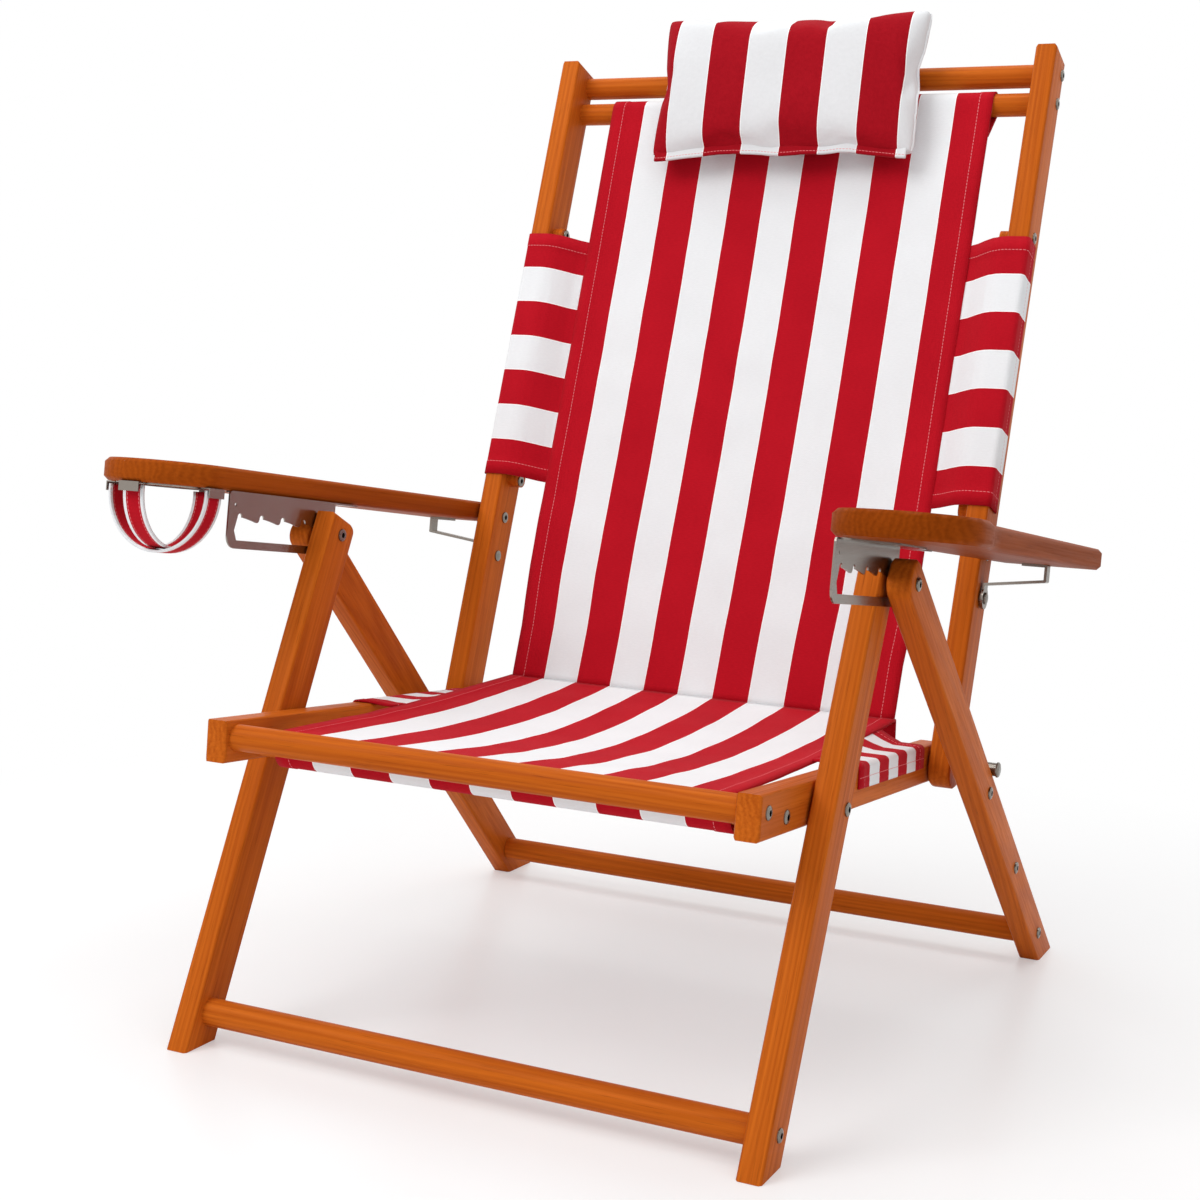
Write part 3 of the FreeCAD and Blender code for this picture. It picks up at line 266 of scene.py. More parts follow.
class Effects:
    """Node groups that the finishes share, each made once."""

    made: dict[str, bpy.types.NodeTree] = {}

    @classmethod
    def use(cls, shader: Shader, name: str, feeds: dict) -> Sequence[Socket]:
        """Place an effect in a material.

        Args:
            shader: the material's node tree.
            name: which effect, by the name of the method that makes it.
            feeds: the effect's inputs.

        Returns:
            The sockets that it puts out.
        """
        if name not in cls.made:
            cls.made[name] = getattr(cls, name)()
        return shader.add("ShaderNodeGroup", feeds, node_tree=cls.made[name]).outputs

    @staticmethod
    def grain() -> bpy.types.NodeTree:
        """Grain of a plank that runs along z: growth rings, long streaks and fine pores.

        Returns:
            The group.
        """
        values = {"Vector": (0.0, 0.0, 0.0), "Light": tint(214, 126, 56), "Dark": tint(150, 76, 26)}
        outputs = ["Grain Colour", "Sheen Mask", "Height"]
        shader, given, result = effect("wood_grain", values, outputs)
        where = given["Vector"]
        slow = shader.streaks(where, (26.0, 26.0, 1.6), 3.0)
        fine = shader.streaks(where, (430.0, 430.0, 5.0), 4.0)
        pores = shader.streaks(where, (1500.0, 1500.0, 34.0), 2.0)
        aside = shader.add("ShaderNodeCombineXYZ", {"X": shader.times(slow, 0.03)}).outputs[0]
        bent = shader.add("ShaderNodeVectorMath", {0: where, 1: aside}, operation="ADD")
        rings = shader.add("ShaderNodeTexWave", {
            "Vector": shader.stretched(bent.outputs[0], (1.0, 0.8, 0.04)),
            "Scale": 60.0, "Distortion": 3.0, "Detail": 2.0, "Detail Scale": 1.6,
        }, wave_type="BANDS", bands_direction="X").outputs[1]
        share = shader.plus(shader.times(fine, 0.55), shader.times(rings, 0.16))
        share = shader.plus(share, shader.times(slow, 0.42))
        share = shader.spread(share, 0.30, 0.90, 0.0, 1.0)
        colour = shader.colours(share, given["Light"], given["Dark"])
        dots = shader.spread(pores, 0.62, 0.74, 0.0, 0.42)
        shader.feed(result, {
            "Grain Colour": shader.colours(dots, colour, tint(84, 34, 8)),
            "Sheen Mask": shader.plus(fine, shader.times(pores, 0.4)),
            "Height": shader.minus(fine, shader.times(pores, 0.7)),
        })
        return shader.tree

    @staticmethod
    def weave() -> bpy.types.NodeTree:
        """Plain weave of a canvas in its own cloth coordinates, with slubs and soft creases.

        Returns:
            The group.
        """
        values = {"Vector": (0.0, 0.0, 0.0), "Pitch": 0.0009}
        shader, given, result = effect("canvas_weave", values, ["Height", "Shade"])
        axes = shader.add("ShaderNodeSeparateXYZ", {0: given["Vector"]}).outputs
        waves = []
        for axis in (0, 1):
            turns = shader.math("DIVIDE", axes[axis], given["Pitch"])
            waves.append(shader.math("SINE", shader.times(turns, pi)))
        slub = shader.streaks(given["Vector"], (260.0, 900.0, 260.0), 2.0)
        crease = shader.noise(given["Vector"], 14.0, 3.0)
        height = shader.plus(shader.times(shader.times(*waves), 0.16), shader.times(slub, 0.3))
        # Shade mixes the slubs' real tone with painted shade of the soft creases.
        shade = shader.plus(shader.times(slub, 0.5), shader.times(crease, 0.5))
        shader.feed(result, {
            "Height": shader.plus(height, shader.times(crease, 2.2)),
            "Shade": shader.spread(shade, 0.3, 0.7, 0.0, 1.0),
        })
        return shader.tree

    @staticmethod
    def stripes() -> bpy.types.NodeTree:
        """Mask that is 1 on every other band of equal width, and one for the bands' edges.

        Returns:
            The group.
        """
        values = {"Place": 0.0, "Start": 0.0, "Width": 0.037}
        shader, given, result = effect("woven_stripes", values, ["Mask", "Edge"])
        run = shader.minus(given["Place"], given["Start"])
        turns = shader.turns(run, shader.times(given["Width"], 2.0))
        off = shader.minus(shader.math("FRACT", shader.times(turns, 2.0)), 0.5)
        shader.feed(result, {
            "Mask": shader.math("LESS_THAN", turns, 0.5),
            "Edge": shader.math("GREATER_THAN", shader.math("ABSOLUTE", off), 0.482),
        })
        return shader.tree

    @staticmethod
    def stitches() -> bpy.types.NodeTree:
        """Mask of one row of lockstitches beside a line.

        Returns:
            The group.
        """
        values = {"Across": 0.0, "Along": 0.0, "Row": 0.0, "Thread": 0.0006, "Stitch": 0.0034}
        shader, given, result = effect("stitch_row", values, ["Mask"])
        off = shader.math("ABSOLUTE", shader.minus(given["Across"], given["Row"]))
        on_line = shader.math("LESS_THAN", off, shader.times(given["Thread"], 0.5))
        dash = shader.math("LESS_THAN", shader.turns(given["Along"], given["Stitch"]), 0.68)
        shader.feed(result, {"Mask": shader.times(on_line, dash)})
        return shader.tree

    @staticmethod
    def brushing() -> bpy.types.NodeTree:
        """Fine brush lines and faint smudges of stainless sheet.

        Returns:
            The group.
        """
        values = {"Vector": (0.0, 0.0, 0.0)}
        shader, given, result = effect("brush_lines", values, ["Lines", "Smudge"])
        shader.feed(result, {
            "Lines": shader.streaks(given["Vector"], (2600.0, 60.0, 2600.0), 2.0),
            "Smudge": shader.noise(given["Vector"], 90.0, 3.0),
        })
        return shader.tree


def new_material(name: str) -> tuple[bpy.types.Material, Shader, bpy.types.Node]:
    """Empty material with one Principled shader.

    Args:
        name: the finish's name.

    Returns:
        The material, its node tree's Shader and the Principled node.
    """
    material = bpy.data.materials.new(name)
    material.use_nodes = True
    shader = Shader(material.node_tree)
    return material, shader, material.node_tree.nodes["Principled BSDF"]


class Grain(Enum):
    """Way that the grain runs in a wooden piece, as the turn that brings it upright."""

    FRONT_LEG = (atan2(196.5, 410.5), 0.0)
    REAR_LEG = (atan2(0.7406, -0.6720), 0.0)
    RAIL = (atan2(0.9969, -0.0785), 0.0)
    BACK = (SIDE.back_lean, 0.0)
    ARM = (atan2(0.9934, -0.1143), 0.0)
    CROSSWISE = (0.0, -pi / 2)


@dataclass(frozen=True)
class Varnish:
    """Orange-brown hardwood under a satin varnish."""

    light: Colour = tint(206, 106, 30)
    dark: Colour = tint(160, 69, 14)
    coat: float = 0.02
    coat_roughness: float = 0.22
    shine: float = 0.06
    shine_colour: Colour = tint(214, 148, 92)
    relief: float = 0.12

    def material(self, name: str, grain: Grain, number: int) -> bpy.types.Material:
        """Varnished wood with the grain along one piece.

        Args:
            name: the piece that wears it.
            grain: the way the grain runs.
            number: a number that moves the figure, so that no two planks match.

        Returns:
            The material.
        """
        material, shader, surface = new_material("varnished_" + name)
        where = shader.add("ShaderNodeMapping", {
            "Vector": shader.coordinates(),
            "Location": (0.37 * number, 0.61 * number, 0.23 * number),
            "Rotation": (*grain.value, 0.0),
        }).outputs[0]
        figure = Effects.use(
            shader, "grain", {"Vector": where, "Light": self.light, "Dark": self.dark})
        shader.feed(surface, {
            "Base Color": figure["Grain Colour"],
            "Roughness": shader.spread(figure["Sheen Mask"], 0.4, 1.0, 0.34, 0.5),
            "Specular IOR Level": self.shine,
            "Specular Tint": self.shine_colour,
            "Coat Weight": self.coat,
            "Coat Roughness": self.coat_roughness,
            "Normal": shader.bump(figure["Height"], self.relief, 0.0006),
        })
        return material


@dataclass(frozen=True)
class Stainless:
    """Stainless steel, brushed or turned."""

    colour: Colour = tint(146, 138, 130)
    smudge: Colour = tint(120, 114, 108)
    smooth: float = 0.19
    rough: float = 0.27

    def material(self, name: str) -> bpy.types.Material:
        """Steel with brush lines along the piece.

        Args:
            name: the finish's name.

        Returns:
            The material.
        """
        material, shader, surface = new_material(name)
        brushed = Effects.use(shader, "brushing", {"Vector": shader.coordinates()})
        dull = shader.spread(brushed["Smudge"], 0.35, 0.7, 0.0, 0.14)
        shader.feed(surface, {
            "Base Color": shader.colours(dull, self.colour, self.smudge),
            "Roughness": shader.spread(brushed["Lines"], 0.3, 0.7, self.smooth, self.rough),
            "Metallic": 1.0,
            "Normal": shader.bump(brushed["Lines"], 0.02, 0.0003),
        })
        return material


@dataclass(frozen=True)
class Seam:
    """Row of stitches: across which cloth axis it lies, and where."""

    axis: int
    row: float
    both_sides: bool = False


@dataclass(frozen=True)
class Canvas:
    """Woven cotton canvas in the cloth's own coordinates or the object's.

    It has broad stripes, or with red_half set a red middle of that half width between white edges.
    """

    red: Colour = tint(186, 14, 32)
    white: Colour = tint(234, 236, 238)
    selvedge: Colour = tint(252, 252, 252)
    thread: Colour = tint(222, 128, 132)
    stripe_axis: int = 0
    stripe_start: float = 0.0
    stripe_width: float = 0.0367
    red_half: float | None = None
    seams: tuple[Seam, ...] = ()
    from_object: bool = False

    def bands(self, shader: Shader, axes: Sequence[Socket], white: Socket) -> tuple[Socket, Socket]:
        """Where the cloth is red, and the white of the rest.

        Args:
            shader: the material's node tree.
            axes: the cloth's coordinates.
            white: the plain white.

        Returns:
            The share of red and the white.
        """
        if self.red_half is not None:
            return shader.math("LESS_THAN", shader.math("ABSOLUTE", axes[0]), self.red_half), white
        stripes = Effects.use(shader, "stripes", {
            "Place": axes[self.stripe_axis], "Start": self.stripe_start,
            "Width": self.stripe_width})
        return stripes["Mask"], shader.colours(stripes["Edge"], white, self.selvedge)

    def material(self, name: str) -> bpy.types.Material:
        """Canvas with its stripes, weave, creases and stitch rows.

        Args:
            name: the piece that wears it.

        Returns:
            The material.
        """
        material, shader, surface = new_material("canvas_" + name)
        where = shader.coordinates("Object" if self.from_object else "UV")
        axes = shader.add("ShaderNodeSeparateXYZ", {0: where}).outputs
        weave = Effects.use(shader, "weave", {"Vector": where, "Pitch": 0.0009})
        shade, height = weave["Shade"], weave["Height"]
        # deep and grey are the red and white darkened by the weave's Shade: real slub tone and
        # painted crease shade.
        deep = tuple(part * 0.80 for part in self.red[:3]) + (1.0,)
        grey = tuple(part * 0.93 for part in self.white[:3]) + (1.0,)
        white = shader.colours(shade, self.white, grey)
        red_share, white = self.bands(shader, axes, white)
        colour = shader.colours(red_share, white, shader.colours(shade, self.red, deep))
        for seam in self.seams:
            across = axes[seam.axis]
            if seam.both_sides:
                across = shader.math("ABSOLUTE", across)
            row = Effects.use(shader, "stitches", {
                "Across": across, "Along": axes[1 - seam.axis], "Row": seam.row})[0]
            colour = shader.colours(row, colour, self.thread)
            height = shader.plus(height, shader.times(row, 1.2))
        shader.feed(surface, {
            "Base Color": colour,
            "Roughness": shader.spread(shade, 0.0, 1.0, 0.78, 0.92),
            "Sheen Weight": 0.03,
            "Sheen Roughness": 0.45,
            "Specular IOR Level": 0.08,
            "Normal": shader.bump(height, 0.35, 0.0005),
        })
        return material

    def dress(self, piece: Piece) -> None:
        """Give a piece this canvas."""
        piece.data.materials.append(self.material(piece.name))


def nothing_selected() -> None:
    """Leave edit mode and deselect everything."""
    if bpy.context.object and bpy.context.object.mode != "OBJECT":
        bpy.ops.object.mode_set(mode="OBJECT")
    bpy.ops.object.select_all(action="DESELECT")


def pick(piece: Piece) -> None:
    """Make one piece the only one that is selected and active.

    Args:
        piece: the piece.
    """
    nothing_selected()
    piece.select_set(True)
    bpy.context.view_layer.objects.active = piece


def apply_modifier(piece: Piece, kind: str, **settings: object) -> None:
    """Add a modifier to a piece and apply it.

    Args:
        piece: the piece.
        kind: Blender's name of the modifier.
        settings: its settings.
    """
    pick(piece)
    modifier = piece.modifiers.new(kind.lower(), kind)
    for name, value in settings.items():
        setattr(modifier, name, value)
    bpy.ops.object.modifier_apply(modifier=modifier.name)


def linked(name: str, data: bpy.types.ID) -> Piece:
    """New object in the scene with a mesh, curve, lamp or camera.

    Args:
        name: its name.
        data: what it shows.

    Returns:
        The object.
    """
    piece = bpy.data.objects.new(name, data)
    bpy.context.scene.collection.objects.link(piece)
    return piece


def joined(pieces: Sequence[Piece], name: str) -> Piece:
    """Several pieces made one object.

    Args:
        pieces: the pieces.
        name: the new name.

    Returns:
        The first piece, with the others in it.
    """
    nothing_selected()
    for piece in pieces:
        piece.select_set(True)
    bpy.context.view_layer.objects.active = pieces[0]
    if len(pieces) > 1:
        bpy.ops.object.join()
    pieces[0].name = name
    pieces[0].data.name = name
    return pieces[0]


def keep(piece: Piece, body: str | None, nodes: Iterable[str] = ()) -> None:
    """Give a finished piece its body and the solids that it stands for.

    Args:
        piece: the piece.
        body: the body that it rides on, or None to leave the piece unattached.
        nodes: the solids that it replaces.
    """
    if body:
        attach(piece, body)
    if nodes:
        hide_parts(*nodes)
    LOG.info("%s: %d faces", piece.name, len(piece.data.polygons))


def hang(
    piece: Piece, canvas: Canvas, body: str, nodes: Iterable[str] = (),
) -> None:
    """Finish a sheet that hangs from its seams.

    Args:
        piece: the sheet.
        canvas: its finish.
        body: the body that it rides on.
        nodes: the solids that it replaces.
    """
    canvas.dress(piece)
    keep(piece, body, nodes)


class Path:
    """Line of a cloth's section, measured along its length in millimetres."""

    def __init__(self, points: Sequence[Point]) -> None:
        """Keep the points and their distances from the start.

        Args:
            points: corners of the line.
        """
        self.points = list(points)
        self.marks = [0.0]
        for (y0, z0), (y1, z1) in zip(points, points[1:]):
            self.marks.append(self.marks[-1] + hypot(y1 - y0, z1 - z0))

    @property
    def length(self) -> float:
        """Whole length of the line."""
        return self.marks[-1]

    def at(self, distance: float) -> Point:
        """Point at a distance from the start.

        Args:
            distance: the distance.

        Returns:
            The point.
        """
        last = len(self.points) - 2
        k = next((k for k in range(last) if distance <= self.marks[k + 1]), last)
        share = (distance - self.marks[k]) / max(self.marks[k + 1] - self.marks[k], 1e-9)
        (y0, z0), (y1, z1) = self.points[k], self.points[k + 1]
        return y0 + (y1 - y0) * share, z0 + (z1 - z0) * share

    def steps(self, longest: float) -> list[float]:
        """Distances that keep every corner of the line and leave no gap over a given length.

        Args:
            longest: the longest gap.

        Returns:
            The distances.
        """
        found = [0.0]
        for start, end in zip(self.marks, self.marks[1:]):
            count = max(1, ceil((end - start) / longest))
            found += [start + (end - start) * (k + 1) / count for k in range(count)]
        return found


def arc(centre: Point, radius: float, start: float, end: float, steps: int = 12) -> list[Point]:
    """Points on an arc, with its angles in degrees from +y towards +z."""
    turns = [radians(start + (end - start) * k / steps) for k in range(steps + 1)]
    return [(centre[0] + radius * cos(turn), centre[1] + radius * sin(turn)) for turn in turns]


# Thickness of a folded hem, as a multiple of the single cloth's.
HEM_FOLD = 1.7


def cloth(
    name: str,
    columns: Sequence[float],
    rows: Sequence[float],
    place: Spot,
    thickness: float,
    hem: Callable[[float, float], bool] = lambda u, v: False,
) -> Piece:
    """Sheet of cloth on a grid, with its cut in its own map and thicker hems.

    Args:
        name: the piece's name.
        columns: places across the cut, in millimetres.
        rows: places along the cut.
        place: gives the point of the row frame for a place across and along.
        thickness: the cloth's thickness in millimetres.
        hem: tells whether a place is in a folded hem.

    Returns:
        The piece.
    """
    across, along = len(columns), len(rows)
    points = [place(u, v) for v in rows for u in columns]
    faces = [
        (r * across + c, r * across + c + 1, (r + 1) * across + c + 1, (r + 1) * across + c)
        for r in range(along - 1) for c in range(across - 1)
    ]
    mesh = bpy.data.meshes.new(name)
    mesh.from_pydata(points, [], faces)
    cut = mesh.uv_layers.new(name="cut")
    for loop in mesh.loops:
        row, column = divmod(loop.vertex_index, across)
        cut.data[loop.index].uv = (columns[column] * MM, rows[row] * MM)
    mesh.shade_smooth()
    piece = linked(name, mesh)
    group = piece.vertex_groups.new(name="hem")
    for r, v in enumerate(rows):
        for c, u in enumerate(columns):
            if hem(u, v):
                group.add([r * across + c], 1.0, "REPLACE")
    apply_modifier(
        piece, "SOLIDIFY", thickness=thickness * HEM_FOLD * MM, offset=0.0,
        vertex_group="hem", thickness_vertex_group=1 / HEM_FOLD)
    return piece


def evenly(start: float, end: float, longest: float) -> list[float]:
    """Places from start to end with no gap over a given length."""
    count = max(1, ceil(abs(end - start) / longest))
    return [start + (end - start) * k / count for k in range(count + 1)]


def hemmed(half: float, hem: float, longest: float) -> list[float]:
    """Columns of a sheet of a half width, with a step at the hem on each side.

    Args:
        half: half the sheet's width.
        hem: width of its hems.
        longest: the longest gap.

    Returns:
        The columns, from one side to the other.
    """
    inner = half - hem
    right = [inner - 0.5, inner + 0.5, half - hem / 2, half]
    return [-u for u in reversed(right)] + evenly(-inner + 0.5, inner - 0.5, longest)[1:-1] + right


@dataclass(frozen=True)
class Length:
    """One length of sling: its line in the side drawing, what it hangs on and where it bends."""

    name: str
    path: Path
    half: float
    seam_rows: tuple[float, ...]
    dowel: str
    bodies: tuple[str, str]
    bend: tuple[Vector, Vector]
    nodes: tuple[str, ...]
    taper: float = 0.0


@dataclass
class Slings:
    """Seat sling and back sling, each hemmed at its sides and sewn round its dowels."""

    seat_half: float = 200.0
    back_half: float = 202.0
    thickness: float = 1.3
    hem: float = 15.0
    seam_in_hem: float = 2.0
    seam_from_end: float = 4.0
    trim: float = 0.6
    stripes: int = 11
    wrap_turn: float = 222.0
    lap: float = 2.4
    pocket: float = 36.0
    pocket_drop: float = 8.5
    slack: float = 5.0
    seat_sag: float = 13.0
    back_sag: float = 9.0
    bend: float = 88.0
    mesh_step: float = 9.0
    crease_gap: float = -2.5
    taper: float = 3.6
    taper_from: float = 55.0
    taper_run: float = 60.0

    def make(self, part: Length, sag: Callable[[float, float], Point]) -> None:
        """Make one length of sling with its striped canvas.

        Args:
            part: what it is and where it goes.
            sag: gives the shift in y and z of a place across and along.
        """
        hem_line = part.half - self.hem

        def place(u: float, v: float) -> Vector:
            """Point of the row frame for a place on the sling."""
            y, z = part.path.at(v)
            shift_y, shift_z = sag(u, v)
            narrow = part.taper * (1 - clamp((v - self.taper_from) / self.taper_run))
            return SIDE.place(u * (1 - narrow / part.half), y + shift_y, z + shift_z)

        columns = hemmed(part.half, self.hem, self.mesh_step)
        rows = part.path.steps(self.mesh_step)
        piece = cloth(
            part.name, columns, rows, place, self.thickness, lambda u, v: abs(u) > hem_line)
        sides = Seam(0, (hem_line + self.seam_in_hem) * MM, True)
        Canvas(
            stripe_start=-(part.half + self.trim) * MM,
            stripe_width=(2 * part.half + 2 * self.trim) / self.stripes * MM,
            seams=(sides, *(Seam(1, row * MM) for row in part.seam_rows))).dress(piece)
        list(part.bodies)
        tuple(part.bend[0])
        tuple(part.bend[1])
        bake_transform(piece)
        keep(piece, None, part.nodes)

    def belly(self, u: float, half: float, share: float) -> float:
        """How deep the cloth hangs between its ends and its sides, from 0 to 1."""
        return sin(pi * share) * (1 - 0.75 * (u / half) ** 2) if 0.0 < share < 1.0 else 0.0

    def ripple(self, u: float, v: float, share: float, size: float, seed: float) -> float:
        """Small unevenness of the cloth in millimetres, which dies out towards both ends."""
        fade = min(clamp(share / 0.12), clamp((1 - share) / 0.08))
        return fade * size * noise.noise(Vector((u / 70.0, v / 46.0, seed)))

    def build_seat(self) -> None:
        """Seat sling: a pocket round the front dowel, the seat, and the drop to the rear dowel."""
        dowel_y, dowel_z = SIDE.seat_dowel
        loop = [
            (y, z - self.slack * max(0.0, (dowel_z + 4.0 - z) / 16.0))
            for y, z in arc(SIDE.seat_dowel, SIDE.sling_wrap, -50.0, -270.0, 20)
        ]
        under = (dowel_y + self.pocket, dowel_z + SIDE.sling_wrap - self.pocket_drop)
        path = Path([under, *loop, SIDE.crease])
        start, end = path.marks[-2], path.length

        def sag(u: float, v: float) -> Point:
            """Sag and ripple of the seat, straight down."""
            share = (v - start) / (end - start)
            drop = self.seat_sag * self.belly(u, self.seat_half, share)
            return 0.0, -drop + self.ripple(u, v, share, 1.1, 3.0)

        crease = SIDE.place(0.0, *SIDE.crease)
        bodies = ("seat_frame", "back_pivots")
        self.make(Length(
            "Lower_sling", path, self.seat_half, (self.seam_from_end,), "seat_sling_dowel",
            bodies, (SIDE.place(0.0, 190.0, 258.0), crease), ("seat_sling",)), sag)
        lowest = arc(SIDE.rear_dowel, SIDE.sling_wrap, 128.0, -150.0, 18)
        self.make(Length(
            "Lower_sling_tail", Path([SIDE.crease, *lowest]), self.seat_half, (20.0,),
            "seat_rear_dowel", bodies, (SIDE.place(0.0, 309.0, 236.0), crease),
            ("seat_sling",)), lambda u, v: (0.0, 0.0))

    def build_back(self) -> None:
        """Back sling: from the crease up to its pocket round the hanger dowel."""
        up, ahead = SIDE.sling_dowel
        crease = Vector(SIDE.crease)
        fall = (crease - Vector(SIDE.on_back(up, ahead + SIDE.sling_wrap))).normalized()
        low = crease - fall * self.crease_gap
        lean = 180.0 - SIDE.lean_degrees
        behind = SIDE.on_back(up - self.pocket, ahead + SIDE.sling_wrap - self.lap)
        loop = arc(SIDE.on_back(up, ahead), SIDE.sling_wrap, lean, lean - self.wrap_turn, 18)
        path = Path([tuple(low), *loop, behind])

        def sag(u: float, v: float) -> Point:
            """Belly and ripple of the back, square to it."""
            share = v / path.marks[1]
            depth = self.back_sag * self.belly(u, self.back_half, share)
            depth += self.ripple(u, v, share, 1.2, 7.0)
            return depth * cos(SIDE.back_lean), -depth * sin(SIDE.back_lean)

        bend = (SIDE.place(0.0, *low), SIDE.place(0.0, *(low - fall * self.bend)))
        self.make(Length(
            "Back_sling", path, self.back_half, (path.length - self.seam_from_end,),
            "back_sling_dowel", ("back_pivots", "back"), bend, ("back_sling", "sling_bend"),
            self.taper), sag)


@dataclass
class Flaps:
    """Striped flaps that leave the slings' edges and wrap the uprights and the seat rails."""

    thickness: float = 1.0
    back_ends: Point = (81.0, 340.0)
    seat_ends: Point = (78.0, 262.0)
    gap: float = 1.1
    hem: float = 13.0
    edge_hem: float = 9.0
    stripes: int = 7
    under_sling: float = 2.6
    lift_from: float = 199.0
    lift_run: float = 20.0
    clear: float = 0.25
    wave: float = 0.7
    loose: Point = (12.0, 42.0)

    def flap(self, name: str, node: str, body: str, ends: Point, path: Path, place: Spot) -> None:
        """Flap with hems at both ends of its length and along its free edge.

        Args:
            name: the piece's name.
            node: the solid that it replaces.
            body: the body that it rides on.
            ends: where its length starts and ends.
            path: the line of its cut.
            place: gives the point of the row frame for a place across and along.
        """
        low, high = ends
        rows = [low, low + self.hem - 0.5, low + self.hem + 0.5]
        rows += evenly(rows[-1], high - self.hem - 0.5, 8.0)[1:] + [high - self.hem + 0.5, high]
        edge = path.length - self.edge_hem
        piece = cloth(
            name, path.steps(3.5), rows, place, self.thickness,
            lambda u, v: v < low + self.hem or v > high - self.hem or u > edge)
        length = high - low
        seams = ((1, low + self.hem), (1, low + length - self.hem), (0, edge))
        canvas = Canvas(
            stripe_axis=1, stripe_start=(low - 0.5) * MM,
            stripe_width=(length / self.stripes + 1.0 / self.stripes) * MM,
            seams=tuple(Seam(axis, row * MM) for axis, row in seams))
        hang(piece, canvas, body, [node])

    def build_back(self, side: Side) -> None:
        """Flap from behind the back sling's edge over an upright's front and outer side.

        Args:
            side: its side of the chair.
        """
        front = SIDE.upright_front + self.gap
        path = Path([
            (194.0, -2.6), (203.0, -1.4), (210.0, 3.0), (219.0, 10.6), (228.0, 17.4),
            (236.0, 21.0), (241.5, front), *arc((257.6, front - 4.6), 4.6, 90.0, 0.0, 6),
            (262.2, -4.5)])

        def place(u: float, v: float) -> Vector:
            """Point of the row frame for a place on the flap."""
            x, ahead = path.at(u)
            if self.loose[0] < u < self.loose[1]:
                spot = Vector((u / 30.0, v / 40.0, 5.0 + side.value))
                ahead += self.wave * noise.noise(spot)
            return SIDE.place(side.value * x, *SIDE.on_back(v, ahead))

        name = f"back_flap_{side.name.lower()}"
        self.flap(name.capitalize(), name, "back", self.back_ends, path, place)

    def build_seat(self, side: Side) -> None:
        """Flap from under the seat sling's edge over a rail's top and outer side.

        Args:
            side: its side of the chair.
        """
        top = self.gap
        path = Path([
            (199.8, 0.0), (203.0, 0.0), (209.0, 0.0), (219.0, top), (224.0, top),
            *arc((236.0, top - 4.0), 4.0, 90.0, 0.0, 6), (240.0, -19.0)])

        def place(u: float, v: float) -> Vector:
            """Point of the row frame for a place on the flap."""
            x, above = path.at(u)
            rail = SIDE.rail_top(v)
            lift = max(SIDE.sling_top(v) - self.under_sling - rail, 0.0)
            lift *= 1 - clamp((x - self.lift_from) / self.lift_run)
            return SIDE.place(side.value * x, v, rail + above + lift + self.clear)

        hand = side.name.lower()
        self.flap(
            f"Rail_flap_{hand}", f"seat_flap_{hand}", "seat_frame", self.seat_ends, path, place)


